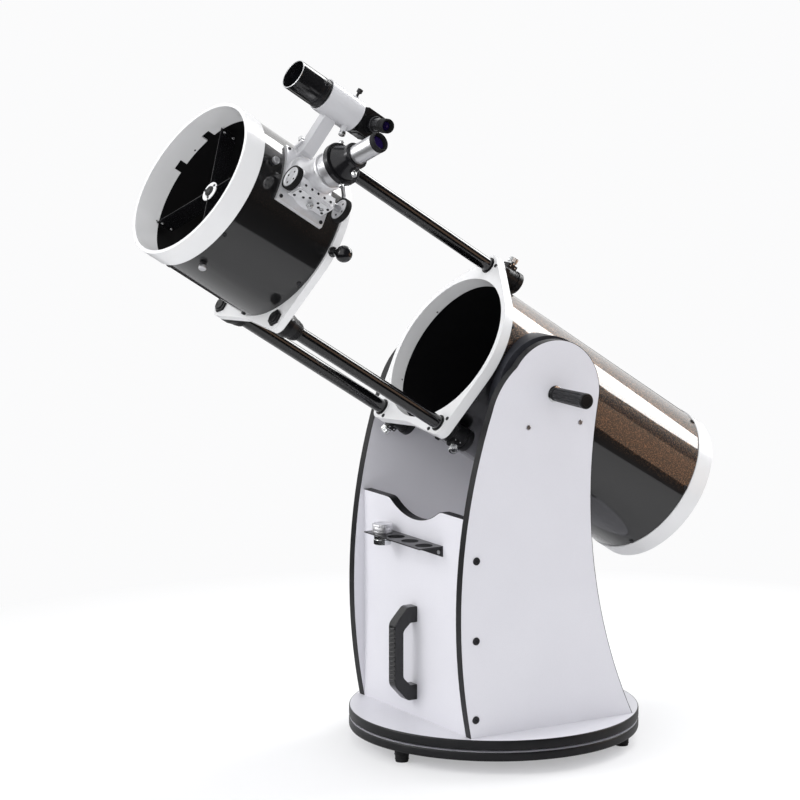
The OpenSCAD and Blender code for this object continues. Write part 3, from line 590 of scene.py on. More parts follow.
FINISHES = [
    (GROUND, "ground_board"),
    (BOARD, "turntable_board side_board_right side_board_left front_board"),
    (EDGING, "board_edging"),
    (PAD, "azimuth_pads bearing_posts"),
    (BEARING, "altitude_bearings"),
    (LOWER_TUBE, "lower_tube"),
    (UPPER_TUBE, "upper_tube"),
    (ROD, "truss_rods"),
    (WHITE, "mid_ring rear_ring upper_ring front_ring"),
    (FINDER_WHITE, "finder_bracket"),
    (PLASTIC, "rod_clamps mirror_clips rod_sockets rod_caps guide_knob finder_diagonal carry_handle"),
    (PLASTIC, "collimation_knob_1 collimation_knob_2 collimation_knob_3"),
    (SATIN, "secondary_holder finder_eyepiece tension_handle_right tension_handle_left"),
    (RUBBER, "feet finder_o_ring"),
    (STEEL, "pivot_bolt collimation_springs"),
    (BLACK_STEEL, "base_fasteners eyepiece_rack lower_tube_screws upper_tube_screws"),
    (CHROME, "rod_lock_screw_1 rod_lock_screw_2 rod_lock_screw_3 focus_lock_screw"),
    (CHROME, "adapter_screw finder_adjuster_1 finder_adjuster_2 finder_shoe_screw"),
    (SILVER, "drawtube focus_knobs eyepiece spare_eyepiece"),
    (CAST, "focuser_base"),
    (GREY_CAST, "mirror_cell"),
    (ANODISED, "spider eyepiece_adapter finder_tube"),
    (MIRROR, "primary_mirror secondary_mirror"),
    (EYE_GLASS, "eyepiece_lens"),
    (FRONT_GLASS, "finder_objective"),
]


def dress_nodes():
    for material, names in FINISHES:
        for name in names.split():
            mesh = frame["nodes"][name].data
            mesh.materials.clear()
            mesh.materials.append(material)


# ---------- detail pieces ----------

FLIP = spin(180, "X")
TURN_Y = spin(-90, "X")
ROD_PHIS = [90, -55.7, -125.7]
KNOB_PHIS = [30, 150, 270]
FOOT_PHIS = [-76, 44, 164]
FOCUS_DEG = math.degrees(FOCUS_PHI)
TUBE_R, ROD_CIRCLE_R, KNOB_CIRCLE_R, FOOT_CIRCLE_R = 145, 168.3, 100, 240
MID_SCREWS_S, REAR_SCREWS_S, UPPER_SCREWS_S, FRONT_SCREWS_S = 100.5, -382.5, 519.5, 688.5
LOCK_S, MID_FACE_S, GUIDE_S, RING_FACE_S = 84, 126, 505, 512
VANE_NUT_S, HUB_S, CELL_S = 672, 686, -420
BRACKET_S, DIAGONAL_S = 583, 545
SHOE_PHI, SHOE_SCREW_R, SHOE_SCREW_S = 54, 162.5, 618
BOLT_Y, BOLT_ZS = -162.3, (380.6, 237.5, 95.5)
POST_Y, POST_DROP = 55, 55.4
HANDLE_SCREWS = ((0, 109, 7.05), (0, 252, 7.05))
RACK_SCREWS = ((-82, 380, 2.05), (87, 380, 2.05))
DETAILS = []


def detail(make):
    """Lists a function that makes pieces, to be called in order."""
    DETAILS.append(make)
    return make


def shift(x=0.0, y=0.0, z=0.0):
    return Matrix.Translation((x, y, z))


def thumbscrew(piece, base, stem, head, metal, teeth=20):
    """A threaded stem (radius, from, to) with a knurled head (radius, from, to)."""
    piece.add(threaded(*stem), base, metal)
    piece.add(knurled_head(head[0], head[2] - head[1], head[1], teeth, 0.6), base, metal)
    piece.add(rod(head[0] * 0.62, head[1] - 1.2, head[1] + 0.2), base, metal)
    return piece


@detail
def make_lock_screws():
    for i, phi in enumerate(ROD_PHIS):
        name = f"rod_lock_screw_{i + 1}"
        piece = Piece("lock_screw_%d" % (i + 1), name)
        base = outward(phi, ROD_CIRCLE_R, LOCK_S)
        piece.turned([(0, 24.6), (6.6, 24.6), (7.2, 25.4), (7.2, 28), (6.4, 29), (0, 29)], 40, base, CHROME)
        thumbscrew(piece, base, (4, 12.6, 25), (9, 29, 38), CHROME, 24)
        piece.done(0.2, [name])


@detail
def make_focuser_screws():
    lock = Piece("focus_lock", "focus_lock_screw")
    base = FOCUSER @ shift(0, -58, 166) @ TURN_Y
    thumbscrew(lock, base, (2.5, 6, 20), (6, 0, 7), CHROME)
    lock.done(0.15, ["focus_lock_screw"])
    clamp = Piece("adapter_clamp", "adapter_screw")
    base = FOCUSER @ shift(0, 0, 258) @ spin(-68) @ TURN_X
    thumbscrew(clamp, base, (2, 16.2, 26), (4.8, 25.5, 32.5), CHROME, 16)
    clamp.done(0.15, ["adapter_screw"])


@detail
def make_finder_screws():
    for i, (angle, metal) in enumerate(((86, BLACK_STEEL), (176, CHROME))):
        name = f"finder_adjuster_{i + 1}"
        piece = Piece("finder_screw_%d" % (i + 1), name)
        base = outward(angle, 0, BRACKET_S, FINDER)
        thumbscrew(piece, base, (2.5, 23.2, 38), (5, 38, 45), metal, 16)
        piece.turned([(2.6, 29.7), (4.6, 29.7), (4.6, 31), (2.6, 31)], 6, base, CHROME)
        piece.done(0.15, [name])
    shoe = Piece("shoe_screw", "finder_shoe_screw")
    base = polar(SHOE_PHI, SHOE_SCREW_R, SHOE_SCREW_S) @ shift(0, 9, 0) @ TURN_Y
    thumbscrew(shoe, base, (2.5, 0, 14), (5.5, 14, 23), CHROME)
    shoe.turned([(2.6, 5.1), (4.4, 5.1), (5, 5.6), (5, 8.6), (4.4, 9.1), (2.6, 9.1)], 36, base, BLACK_STEEL)
    shoe.done(0.15, ["finder_shoe_screw"])


@detail
def make_tension_handles():
    for side, name in ((1, "tension_handle_right"), (-1, "tension_handle_left")):
        turn = spin(90 * side, "Y")
        base = Matrix.Translation(PIVOT) @ Matrix.Scale(MM, 4) @ turn
        piece = Piece("grip_" + name.split("_")[-1], name)
        piece.turned([(5, 191.7), (14.4, 191.7), (15, 192.2), (15, 193.2), (14.4, 193.7), (5, 193.7)],
                        64, base, CHROME)
        piece.add(threaded(5, 148, 194, 1.25), base, STEEL)
        sleeve = [(11.2, 193.7), (12, 194.6), (12, 200), (11, 201.5), (11.6, 203), (12.4, 205, flutes)]
        sleeve += [(12.4 + 1.3 * k / 8, 205 + 10 * k, flutes) for k in range(1, 9)]
        sleeve += [(13.9, 286.5), (13.9, 289.5), (12.9, 291.4), (9, 291.7), (8.4, 290.6), (0, 290.6)]
        piece.turned([(0, 193.7)] + sleeve, 120, base, PLASTIC)
        piece.done(0.0, [name], 40)


@detail
def make_springs():
    piece = Piece("coil_springs", "mirror_springs")
    turns, steps, wire, ring = 4, 14, 1.2, 6.0
    for phi in KNOB_PHIS:
        base = polar(phi, KNOB_CIRCLE_R, CELL_S + 8)
        path = []
        for k in range(turns * steps + 1):
            a = 2 * math.pi * k / steps
            path.append((ring * math.cos(a), ring * math.sin(a), 2.4 + 8.6 * k / (turns * steps)))
        piece.add(sweep(path, wire, 10), base, STEEL)
    piece.done(0, ["collimation_springs"], 60)


@detail
def make_collimation_knobs():
    for i, phi in enumerate(KNOB_PHIS):
        name = f"collimation_knob_{i + 1}"
        base = polar(phi, KNOB_CIRCLE_R, CELL_S)
        piece = Piece("cell_knob_%d" % (i + 1), name)
        piece.add(threaded(3, -6, 26, 1.0), base, STEEL)
        piece.add(rod(7, -3, -0.2), base, STEEL)
        star = lobes(12, 0.12)
        piece.turned([(0, -17), (6, -17), (6.4, -16), (10.4, -17), (12, -15.4, star), (12, -4.6, star),
                         (10.6, -3), (0, -3)], 96, base, PLASTIC)
        piece.add(rod(5.6, -17.2, -15), base, CHROME)
        piece.done(0.2, [name])


@detail
def make_base_fasteners():
    piece = Piece("board_fasteners", "rocker")
    side_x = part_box("side_board_right")[1].x / MM
    front_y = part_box("front_board")[0].y / MM
    post_z = PIVOT.z / MM - POST_DROP
    for side in (1, -1):
        turn = spin(90 * side, "Y")
        for z in BOLT_ZS:
            base = WORLD @ shift(side * side_x, BOLT_Y, z) @ turn
            piece.turned([(0, -18), (3, -18), (3, 0), (7, 0), (7, 1.4), (6.2, 2.2), (4.6, 2.2), (4.4, 1.6),
                             (4.0, 1.6), (3.8, 2.2), (2.6, 2.2, hexagon), (2.6, 0.6, hexagon), (0, 0.5)], 48,
                      base, BLACK_STEEL)
        for y in (-POST_Y, POST_Y):
            base = WORLD @ shift(side * side_x, y, post_z) @ turn
            piece.add(recess_screw(4.6, 1.9, 0, crosshead, 0.5), base, STEEL)
            piece.add(rod(2.5, -20, 0.2), base, STEEL)
    front = spin(90, "X")
    for x, z, lift in HANDLE_SCREWS + RACK_SCREWS:
        base = WORLD @ shift(x, front_y, z) @ front
        piece.add(recess_screw(4, 2.2, lift, crosshead, 0.5), base, STEEL)
        piece.add(rod(2, -9, lift), base, STEEL)
    piece.done(0.15, ["base_fasteners"])


@detail
def make_handle():
    """A C-shaped handle with rounded edges and slanted ribs on its outer face."""
    piece = Piece("front_handle", "rocker")
    low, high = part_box("carry_handle")
    front, half, board = low.y / MM, high.x / MM, high.y / MM
    rise = Matrix(((0, 0, 1, 0), (1, 0, 0, board), (0, 1, 0, 0), (0, 0, 0, 1)))
    depth = board - front
    outer = [(0, 267), (-20, 267), (-depth, 238), (-depth, 124), (-20, 95), (0, 95)]
    inner = [(0, 123), (-14, 123), (18 - depth, 138), (18 - depth, 224), (-14, 238), (0, 238)]
    corners = [1, 12, 22, 22, 12, 1, 1, 8, 12, 12, 8, 1]
    piece.add(prism(rounded(outer + inner, corners), -half, half), WORLD @ rise, HANDLE)
    count, first, last = 12, 134.0, 228.0
    for i in range(count):
        z = first + (last - first) * i / (count - 1)
        rib = [(-half + 2.2, front + 0.9, z - 2), (0, front + 0.9, z), (half - 2.2, front + 0.9, z + 2)]
        piece.add(sweep(rib, 2.3), WORLD, HANDLE)
    piece.done(2.2, ["carry_handle"], 45)


@detail
def make_spare_eyepiece():
    piece = Piece("spare_ocular", "spare_eyepiece")
    low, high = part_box("spare_eyepiece")
    x, y = (low.x + high.x) / 2 / MM, (low.y + high.y) / 2 / MM
    base = WORLD @ shift(x, y, low.z / MM + 22)
    barrel = [(14.4, -22), (15.4, -22), (15.875, -21.4), (15.875, -13), (15.2, -12.2), (15.2, -6.2),
              (15.875, -5.4), (15.875, 0), (14.4, 0)]
    piece.turned(barrel, 64, base, CHROME)
    body = [(0, 0), (17.6, 0), (18, 0.5), (18, 3), (17.5, 3.4), (17.5, 4), (18, 4.4), (18, 10), (17.4, 11),
            (0, 11)]
    piece.turned(body, 64, base, SILVER)
    ribs = lobes(40, 0.03)
    cap = [(0, 10.5), (17.2, 11), (18.6, 11.4, ribs), (18.4, 13.6, ribs), (17.4, 15.4), (16.2, 16), (14, 16),
           (13.4, 15.4), (0, 15.2)]
    piece.turned(cap, 160, base, SILVER)
    piece.done(0.2, ["spare_eyepiece"])


def pan_screws(piece, s, phi0):
    for k in range(6):
        base = outward(phi0 + 60 * k, TUBE_R, s)
        piece.add(recess_screw(4.2, 2.4, 0.1, crosshead, 0.5), base, BLACK_STEEL)
        piece.add(rod(2, -4.5, 0.3), base, BLACK_STEEL)


@detail
def make_upper_screws():
    """Ring screws and the four vane nuts, each a bright knurled cap on a dark collar."""
    piece = Piece("upper_fasteners", "upper")
    pan_screws(piece, UPPER_SCREWS_S, -30)
    pan_screws(piece, FRONT_SCREWS_S, 30)
    for k in range(4):
        base = outward(FOCUS_DEG + 90 * k, TUBE_R, VANE_NUT_S)
        collar = [(0, -6), (2.5, -6), (2.5, 0), (6, 0), (6, 1.2), (4.6, 1.8), (4.6, 6.4), (0, 6.4)]
        piece.turned(collar, 40, base, BLACK_STEEL)
        piece.add(knurled_head(6.9, 6.4, 5.2, 26, 0.9), base, SILVER)
    piece.done(0.15, ["upper_tube_screws"])


@detail
def make_lower_screws():
    piece = Piece("lower_fasteners", "tube")
    pan_screws(piece, MID_SCREWS_S, 30)
    pan_screws(piece, REAR_SCREWS_S, 0)
    for phi in ROD_PHIS:
        for side in (-23.5, 23.5):
            base = polar(phi, 170, MID_FACE_S) @ shift(0, side, 0)
            piece.add(recess_screw(3.6, 1.6, 0, hexagon, 0.55), base, BLACK_STEEL)
            piece.add(rod(2.5, -28, 0.2), base, BLACK_STEEL)
    for phi in KNOB_PHIS:
        base = polar(phi, 80, CELL_S) @ FLIP
        piece.add(rod(2.5, -18, 8), base, STEEL)
        piece.turned([(0, 0), (5, 0, hexagon), (5, 4.6, hexagon), (4.2, 5.2), (0, 5.2)], 48, base, STEEL)
        piece.add(rod(7, -0.1, 0.9), base, STEEL)
    piece.done(0.15, ["lower_tube_screws"])


@detail
def make_guide_knob():
    """A ball on a flared neck with a bright washer at its foot."""
    piece = Piece("guide_ball", "upper")
    base = outward(0, 0, GUIDE_S)
    ball = [(14.5 * math.sin(a), 187 - 14.5 * math.cos(a)) for a in
            [math.radians(35 + 145 * k / 22) for k in range(22)]]
    neck = [(0, 144), (3, 144), (3, 150.1), (7.6, 150.1), (7.6, 152), (5.2, 153.5), (5.6, 157), (7.2, 165),
            (8.6, 171), (8.9, 173.5)]
    piece.turned(neck + ball + [(0, 201.5)], 64, base, GLOSS)
    piece.turned([(3, 150), (9.2, 150), (9.2, 151), (3, 151)], 48, base, CHROME)
    piece.done(0, ["guide_knob"], 40)


@detail
def make_rod_caps():
    piece = Piece("hex_caps", "upper")
    for phi in ROD_PHIS:
        base = polar(phi, ROD_CIRCLE_R, RING_FACE_S)
        piece.add(rod(6, -42, 0.5), base, BLACK_STEEL)
        head = [(0, 0), (13.4, 0, hexagon), (13.6, 0.6, hexagon), (13.6, 3.8, hexagon), (12.6, 4.5, hexagon),
                (10.6, 4.6), (10.5, 6.4), (9.8, 7), (6, 7), (5.6, 6.5), (0, 6.5)]
        piece.turned(head, 72, base, PLASTIC)
    piece.done(0.3, ["rod_caps"])


@detail
def make_rod_fittings():
    """Grip ribs on the rod sockets and clamp blocks, with small bright screw heads on both."""
    ribs = Piece("socket_ribs", "upper")
    for phi in ROD_PHIS:
        base = polar(phi, ROD_CIRCLE_R, 0)
        for s in (463.5, 467.5, 471.5):
            r = 15.2 + 7 * (s - 460) / 26
            ribs.add(torus(r - 0.5, 1.1, s, 48), base, PLASTIC)
        for side in (-1, 1):
            place = base @ shift(1.5, side * 20.2, 492)
            turn = spin(-90 * side, "X")
            ribs.add(recess_screw(3.1, 1.8, 1.2), place @ turn, CHROME)
    ribs.done(0.2, ())
    clamps = Piece("clamp_ribs", "tube")
    for phi in ROD_PHIS:
        base = polar(phi, ROD_CIRCLE_R, 0)
        for s in (70.5, 74.0, 93.5, 97.0):
            clamps.add(torus(18.9, 0.8, s, 48), base, PLASTIC)
        for s in (78.5, 89.5):
            for side in (-1, 1):
                turn = spin(-90 * side, "X")
                place = base @ shift(20.5, side * 9, s) @ turn
                clamps.add(recess_screw(1.7, 0.9), place, CHROME)
    clamps.done(0.15, ())


@detail
def make_spider_details():
    """White hub cap with its three screws, and the clamped ends of the four vanes."""
    piece = Piece("spider_fittings", "upper")
    base = TUBE @ shift(0, 0, HUB_S)
    cap = [(9.6, 0), (17.4, 0), (18, 0.5), (18, 1.5), (17.3, 2.1), (10.2, 2.1), (9.6, 1.6)]
    piece.turned(cap, 72, base, WHITE)
    for k in range(3):
        a = math.radians(60 + 120 * k)
        piece.add(recess_screw(2.3, 1.5, 2.1), base @ shift(13.6 * math.cos(a), 13.6 * math.sin(a)),
                  BLACK_STEEL)
    for k in range(4):
        for side, low, high in ((-1, -2.1, 0.1), (1, -0.1, 2.1)):
            place = polar(FOCUS_DEG + 90 * k, 132, VANE_NUT_S)
            piece.add(box(-6, 5.6, low, high, -16, 16, 0.4), place, ANODISED)
            turn = spin(-90 * side, "X")
            for s in (-10, 10):
                piece.add(recess_screw(2.4, 1.4), place @ shift(0, 2.1 * side, s) @ turn, CHROME)
    piece.done(0.2, ())


@detail
def make_secondary_bolt():
    piece = Piece("secondary_bolt", "secondary")
    base = TUBE @ shift(0, 0, HUB_S + 0.1)
    piece.turned([(0, 0), (9, 0), (9, 3.2), (8.2, 4), (6.6, 4), (6.2, 4.9, hexagon), (4.2, 4.9, hexagon),
                     (3.4, 4.6), (3.4, 2.4), (0, 2.4)], 48, base, SATIN)
    piece.done(0.2, ())


@detail
def make_focuser_details():
    """Corner screws, the bead round the boss, and the screwed covers of the pinion housing."""
    piece = Piece("focuser_fittings", "upper")
    for side, end in ((-1, -1), (-1, 1), (1, -1), (1, 1)):
        base = outward(FOCUS_DEG + 19.6 * side, 150.9, FOCUS_S + 45 * end)
        piece.add(recess_screw(3.4, 2.2), base, BLACK_STEEL)
    piece.add(torus(45.2, 1.4, 155.2, 96), FOCUSER, CAST)
    piece.add(torus(42.0, 1.0, 156.6, 96), FOCUSER, CAST)
    piece.turned([(30.6, 198), (32.4, 198.6), (32.8, 200), (32.8, 203.4), (32.2, 204.4), (29.6, 204.4),
                     (29.2, 203.8), (29.2, 199)], 80, FOCUSER, CAST)
    plate = rounded([(-33, -44.4), (33, -44.4), (33, -32.6), (-33, -32.6)], 4.5)
    piece.add(prism(plate, 181.6, 183.8), FOCUSER, CAST)
    for x in (-28, -14, 0, 14, 28):
        piece.add(recess_screw(2.4, 1.2), FOCUSER @ shift(x, -38.5, 183.8), BLACK_STEEL)
    face = FOCUSER @ shift(0, -46, 166) @ spin(90, "X")
    cover = rounded([(-36, -11), (36, -11), (36, 14), (-36, 14)], 6)
    piece.add(prism(cover, -0.4, 2.4), face, CAST)
    for x, y in ((-31, -6), (-31, 9), (31, -6), (31, 9), (-17, 1), (17, 1), (-9, 9), (9, 9)):
        piece.add(recess_screw(2.5, 1.3), face @ shift(x, y, 2.4), BLACK_STEEL)
    piece.add(recess_screw(4.2, 2.0), face @ shift(24, 1, 2.4), CHROME)
    piece.done(0.35, ())


@detail
def make_focus_wheels():
    piece = Piece("focus_wheels", "focus_knobs")
    y, z = -32.05, 174
    axle = FOCUSER @ shift(0, y, z) @ TURN_X
    piece.add(rod(3, -50, 58), axle, CHROME)
    piece.add(rod(5.5, -45, -39), axle, SILVER)
    piece.add(rod(5.5, 39, 55), axle, SILVER)
    tread = lobes(44, 0.045)
    for x0 in (-56, 54):
        base = axle @ shift(0, 0, x0)
        tyre = [(18.2, 0.3), (21.2, 0.3), (22, 1.4, tread), (22, 9.6, tread), (21.2, 10.7), (18.2, 10.7)]
        piece.turned(tyre, 176, base, RUBBER)
        face = [(0, 1.6), (5.6, 1.6), (6.2, 1.0), (6.6, 1.9), (14.6, 1.9), (15.2, 1.2), (16, 0.6)]
        face += [(18.4, 0.6), (18.4, 10.4), (16, 10.4), (15.2, 9.8), (14.6, 9.1), (6.6, 9.1)]
        face += [(6.2, 10), (5.6, 9.4), (0, 9.4)]
        piece.turned(face, 72, base, CAST)
        for k in range(4):
            a = math.radians(45 + 90 * k)
            spot = shift(10.6 * math.cos(a), 10.6 * math.sin(a), 0)
            piece.add(recess_screw(1.9, 0.7), base @ spot @ shift(0, 0, 1.9) @ FLIP, BLACK_STEEL)
            piece.add(recess_screw(1.9, 0.7), base @ spot @ shift(0, 0, 9.1), BLACK_STEEL)
    piece.done(0.15, ["focus_knobs"])


@detail
def make_drawtube():
    piece = Piece("focus_tube", "drawtube")
    sleeve = [(25.5, 146), (28.6, 146), (29, 146.6), (29, 206), (28.6, 206.5), (28.6, 207.5), (29, 208),
              (29, 228.4), (25.5, 228.4)]
    piece.turned(sleeve, 96, FOCUSER, SILVER)
    ring = [(25.5, 228.2), (36.6, 228.2), (37.5, 229), (37.5, 232), (37.1, 232.5), (37.1, 234), (37.5, 234.5),
            (37.5, 237.6), (36.6, 238.5), (25.5, 238.5)]
    piece.turned(ring, 96, FOCUSER, ANODISED)
    for angle in (100, 280):
        base = FOCUSER @ spin(angle) @ shift(0, 0, 233) @ TURN_X
        thumbscrew(piece, base, (2, 30, 40), (4.5, 39, 45), CHROME, 16)
    piece.done(0.2, ["drawtube"])


@detail
def make_adapter():
    piece = Piece("adapter", "drawtube")
    body = [(15.95, 216), (25.4, 216), (25.4, 238.6), (31, 238.7), (31, 240.4), (30, 241.6), (21.2, 261),
            (20.5, 263), (20.8, 264.2), (22.4, 264.5), (23, 265.2), (23, 271.2), (22.2, 272), (16.6, 272),
            (15.95, 271.4)]
    piece.turned(body, 80, FOCUSER, ANODISED)
    piece.done(0.2, ["eyepiece_adapter"])


@detail
def make_eyepiece():
    piece = Piece("ocular", "eyepiece")
    barrel = [(13.5, 244), (15.4, 244), (15.875, 244.6), (15.875, 272.2), (13.5, 272.2)]
    piece.turned(barrel, 64, FOCUSER, CHROME)
    body = [(12.6, 272.1), (16.6, 272.1), (17, 272.6), (17, 276), (16.6, 276.4), (16.6, 277.2), (17, 277.6),
            (17, 319.4), (16.7, 320), (12.6, 320)]
    piece.turned(body, 72, FOCUSER, SILVER)
    rim = [(12.7, 319.8), (17, 320), (17.6, 321.2), (17.6, 326.6), (16.9, 328.6), (15.8, 330), (14.8, 330),
           (13.4, 327), (12.8, 322.6)]
    piece.turned(rim, 72, FOCUSER, RUBBER)
    piece.done(0.15, ["eyepiece"])


@detail
def make_finder_tube():
    piece = Piece("finder_barrel", "finder")
    shield = [(24.8, 661), (26.9, 661), (26.9, 706.9), (26.6, 707.3), (24.9, 707.3), (24.8, 700)]
    piece.turned(shield, 96, FINDER, GLOSS)
    lip = [(24.9, 707.2), (26.6, 707.2), (27, 707.6), (27, 708.3), (26.7, 708.5), (25.2, 708.5)]
    piece.turned(lip, 96, FINDER, CHROME)
    ribs = lobes(60, 0.03)
    lock = [(23, 643.4), (26.4, 643.4), (26.9, 644), (26.9, 646), (26.2, 646.5), (26.9, 647.2, ribs),
            (26.9, 655.4, ribs), (26.2, 656), (26.2, 657), (26.9, 657.6), (26.9, 660.9), (23, 660.9)]
    piece.turned(lock, 180, FINDER, ANODISED)
    piece.turned([(22, 641.2), (25.4, 641.2), (26.2, 642), (26.2, 643), (22, 643.4)], 96, FINDER, CHROME)
    piece.add(pipe(23.9, 21.5, 600, 643.4, 80), FINDER, FINDER_WHITE)
    piece.add(pipe(22, 19.5, 562, 601, 80), FINDER, ANODISED)
    piece.done(0.1, ["finder_tube"])


@detail
def make_finder_diagonal_details():
    piece = Piece("prism_cover", "finder")
    base = FINDER @ shift(0, 0, DIAGONAL_S)
    plate = rounded([(-17, -19), (17, -19), (17, 19), (-17, 19)], 3)
    for side in (1, -1):
        turn = spin(-90 * side, "X")
        place = base @ shift(0, 23 * side, -2) @ turn
        piece.add(prism(rounded([(-16, -12), (16, -12), (16, 12), (-16, 12)], 3), -0.3, 1.4), place, PLASTIC)
        for x in (-12, 12):
            for y in (-8, 8):
                piece.add(recess_screw(1.8, 0.9), place @ shift(x, y, 1.4), BLACK_STEEL)
    slope = base @ spin(45, "Y") @ shift(0, 0, -22) @ FLIP
    piece.add(prism(plate, -0.4, 1.8), slope, PLASTIC)
    for x in (-13, 13):
        for y in (-15, 15):
            piece.add(recess_screw(2.0, 1.0), slope @ shift(x, y, 1.8), CHROME)
    piece.add(torus(22.6, 1.3, 16, 72), base, ANODISED)
    piece.done(0.25, ())


@detail
def make_finder_eyepiece():
    piece = Piece("finder_ocular", "finder_eyepiece")
    base = FINDER @ shift(0, 0, DIAGONAL_S) @ TURN_X
    ribs = lobes(30, 0.05)
    body = [(9, 4), (12.1, 4), (12.1, 30), (13.8, 30.2), (14.5, 31.2, ribs), (14.5, 40.8, ribs), (13.6, 41.8),
            (12, 42.4), (11.6, 46), (11.4, 60), (9, 60)]
    piece.turned(body, 120, base, ANODISED)
    cup = [(7.4, 59.5), (11.4, 59.6), (12.2, 60.6), (11.6, 62.4), (12.6, 64), (12.6, 77.4), (12, 79.4),
           (10.8, 79.9), (10, 78), (7.6, 72)]
    piece.turned(cup, 72, base, RUBBER)
    piece.turned([(0, 70), (7.7, 70), (7.7, 71.2), (5, 72.2), (0, 72.6)], 48, base, EYE_GLASS)
    piece.done(0.15, ["finder_eyepiece"])


@detail
def make_base_details():
    """Rubber beads on the feet, and the rounded black moulding round both boards."""
    piece = Piece("foot_fittings", "base")
    for angle in FOOT_PHIS:
        turn = spin(angle)
        base = WORLD @ turn @ shift(FOOT_CIRCLE_R, 0, 0)
        piece.add(torus(13.6, 0.8, 22.2, 48), base, RUBBER)
        piece.add(torus(12.1, 0.8, 5.2, 48), base, RUBBER)
        piece.add(torus(12.9, 0.8, 13.8, 48), base, RUBBER)
    piece.done(0, (), 50)
    for name, board, body in (("ground_moulding", "ground_board", "base"),
                              ("turntable_moulding", "turntable_board", "rocker")):
        low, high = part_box(board)
        r, z0, z1 = GROUND_R, low.z / MM, high.z / MM
        bead = [(r - 1, z0 + 0.3), (r + 0.7, z0 + 0.4), (r + 1.7, z0 + 1.6), (r + 2, z0 + 3.4),
                (r + 2, z1 - 3.4), (r + 1.7, z1 - 1.6), (r + 0.7, z1 - 0.4), (r - 1, z1 - 0.3)]
        edge = Piece(name, body)
        edge.turned(bead, 180, WORLD, EDGING)
        edge.done(0, (), 60)


@detail
def make_plunger_cap():
    """Bright cap of the spring plunger on the finder ring."""
    piece = Piece("plunger_cap", "upper")
    base = outward(-66, 27.7, BRACKET_S, FINDER)
    piece.turned([(0, 14), (5.6, 14), (5.6, 15), (5.9, 15.4), (5.9, 19.4), (5.2, 20.4), (3.4, 20.8),
                     (0, 20.8)], 48, base, CHROME)
    piece.done(0.2, ())


# ---------- stage ----------


BACKDROP = (0.965, 0.965, 0.97, 1)
FLOOR_DIM = 0.5


def make_floor():
    """A pale floor that fades into the backdrop away from the telescope. In reflections it is painted dark:
    half dark near the telescope, fully dark beyond 1.6 m.
    """
    bpy.ops.mesh.primitive_plane_add(size=60, location=(0, 0, 0))
    floor = bpy.context.object
    floor.name = "floor"
    look = Look("floor", (0.86, 0.86, 0.865), 0.55)
    look.paint(look.span(look.noise(1.5), 0.3, 0.7, 0, 0.4), (0.84, 0.84, 0.845))
    look.roughen(look.noise(30), 0.5, 0.65)
    glow = look.node("ShaderNodeEmission", BACKDROP, 1.0)
    away = look.span(look.radius((1, 0, 0), (0, 1, 0), (0, 0, 0)), 0.5, 1.5)
    ray = look.node("ShaderNodeLightPath")
    fade = look.math("MULTIPLY", look.math("MAXIMUM", away, 0.35), ray.outputs["Is Camera Ray"])
    mixed = look.node("ShaderNodeMixShader", fade, look.bsdf.outputs[0], glow.outputs[0])
    # Painted shade in reflections: glossy rays see the floor half dark near the telescope and fully dark
    # beyond 1.6 m.
    beyond = look.span(look.radius((1, 0, 0), (0, 1, 0), (0, 0, 0)), 1.5, 1.6, FLOOR_DIM, 1.0)
    painted_reflection_shade = look.math("MULTIPLY", beyond, ray.outputs["Is Glossy Ray"])
    dark = look.node("ShaderNodeEmission", (0.01, 0.01, 0.01, 1), 1.0)
    final = look.node("ShaderNodeMixShader", painted_reflection_shade, mixed.outputs[0], dark.outputs[0])
    out = look.tree.nodes["Material Output"]
    look.tree.links.new(final.outputs[0], out.inputs["Surface"])
    floor.data.materials.append(look.material)


def area(name, place, aim, size, power, glossy=True, up=None, colour=(1, 1, 1)):
    """A rectangular softbox at place, facing aim. up is the direction of its long side."""
    data = bpy.data.lights.new(name, "AREA")
    data.shape = "RECTANGLE"
    data.size, data.size_y = size
    data.energy = power
    data.color = colour
    light = bpy.data.objects.new(name, data)
    bpy.context.scene.collection.objects.link(light)
    back = (Vector(place) - Vector(aim)).normalized()
    rise = Vector(up or (0, 0, 1))
    rise = (rise - back * back.dot(rise)).normalized()
    turn = Matrix((rise.cross(back), rise, back)).transposed().to_4x4()
    light.matrix_world = Matrix.Translation(place) @ turn
    light.visible_camera = False
    light.visible_glossy = glossy
    return light


def make_lights():
    """Key from the front left, fill from the camera, and boxes mirrored along the tubes."""
    centre = (0, 0, 0.7)
    area("front_box", (-1.6, -4.2, 2.9), centre, (2.4, 2.4), 105)
    area("camera_box", (4.2, -3.2, 2.2), centre, (2.2, 2.2), 60, glossy=False)
    area("top_box", (0.2, -0.4, 4.2), centre, (2.6, 2.6), 45, glossy=False)
    area("tube_box", (-0.3, 2.5, 2.1), (0, 0, 0.8), (0.9, 2.4), 55, up=(-0.7, 0, 0.7))
    low_tube = PIVOT - ALONG * 0.3
    glow = area("copper_box", low_tube + Vector((0.69, 0.72, 0.04)) * 1.5, low_tube, (0.8, 1.7), 3.6,
                up=ALONG, colour=(1, 0.66, 0.45))
    glow.visible_diffuse = False


FILL, SKY_BRIGHT, SKY_DARK = 0.8, 1.25, 0.03


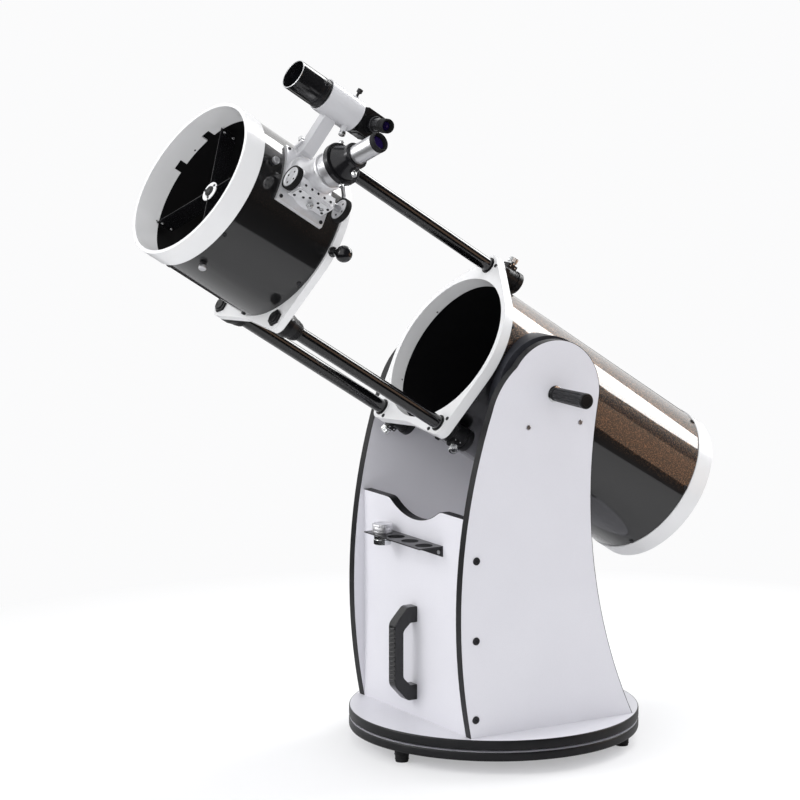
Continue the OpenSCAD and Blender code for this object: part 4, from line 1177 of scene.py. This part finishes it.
def make_world():
    """Pale to the camera, soft fill for surfaces, and dark to the rear right in reflections."""
    world = bpy.data.worlds.new("studio")
    bpy.context.scene.world = world
    world.use_nodes = True
    tree = world.node_tree
    tree.nodes.clear()
    make = tree.nodes.new
    join = tree.links.new
    fill, seen, sky = [make("ShaderNodeBackground") for _ in range(3)]
    fill.inputs[0].default_value = (0.97, 0.98, 1.0, 1)
    fill.inputs[1].default_value = FILL
    seen.inputs[0].default_value = BACKDROP
    dot = make("ShaderNodeVectorMath")
    dot.operation = "DOT_PRODUCT"
    dot.inputs[1].default_value = Vector((0.8, 0.6, 0.1)).normalized()
    ramp = make("ShaderNodeMapRange")
    for name, value in (("From Min", 0.15), ("From Max", 0.5), ("To Min", SKY_BRIGHT), ("To Max", SKY_DARK)):
        ramp.inputs[name].default_value = value
    join(make("ShaderNodeTexCoord").outputs["Generated"], dot.inputs[0])
    join(dot.outputs["Value"], ramp.inputs["Value"])
    join(ramp.outputs[0], sky.inputs[1])
    ray = make("ShaderNodeLightPath")
    shown = fill
    for kind, other in (("Is Glossy Ray", sky), ("Is Camera Ray", seen)):
        mixed = make("ShaderNodeMixShader")
        join(ray.outputs[kind], mixed.inputs[0])
        join(shown.outputs[0], mixed.inputs[1])
        join(other.outputs[0], mixed.inputs[2])
        shown = mixed
    join(shown.outputs[0], make("ShaderNodeOutputWorld").inputs[0])


CAMERA_AT = Vector((4.7255, -3.0851, 1.5156))
CAMERA_AIM = Vector((0, 0, 0.5467))
CAMERA_YAW, CAMERA_PITCH = math.radians(1.7464), math.radians(0.786)
LENS, SENSOR = 141.91, 36.0


def make_camera():
    view = CAMERA_AIM - CAMERA_AT
    azimuth = math.atan2(view.y, view.x) + CAMERA_YAW
    elevation = math.asin(view.z / view.length) + CAMERA_PITCH
    ahead = Vector((math.cos(elevation) * math.cos(azimuth), math.cos(elevation) * math.sin(azimuth),
                    math.sin(elevation)))
    data = bpy.data.cameras.new("camera")
    data.lens = LENS
    data.sensor_width = SENSOR
    camera = bpy.data.objects.new("camera", data)
    camera.location = CAMERA_AT
    camera.rotation_euler = ahead.to_track_quat("-Z", "Y").to_euler()
    bpy.context.scene.collection.objects.link(camera)
    bpy.context.scene.camera = camera


dress_nodes()
for make_detail in DETAILS:
    make_detail()
make_floor()
make_lights()
make_world()
make_camera()
bpy.context.scene.view_settings.view_transform = "Standard"
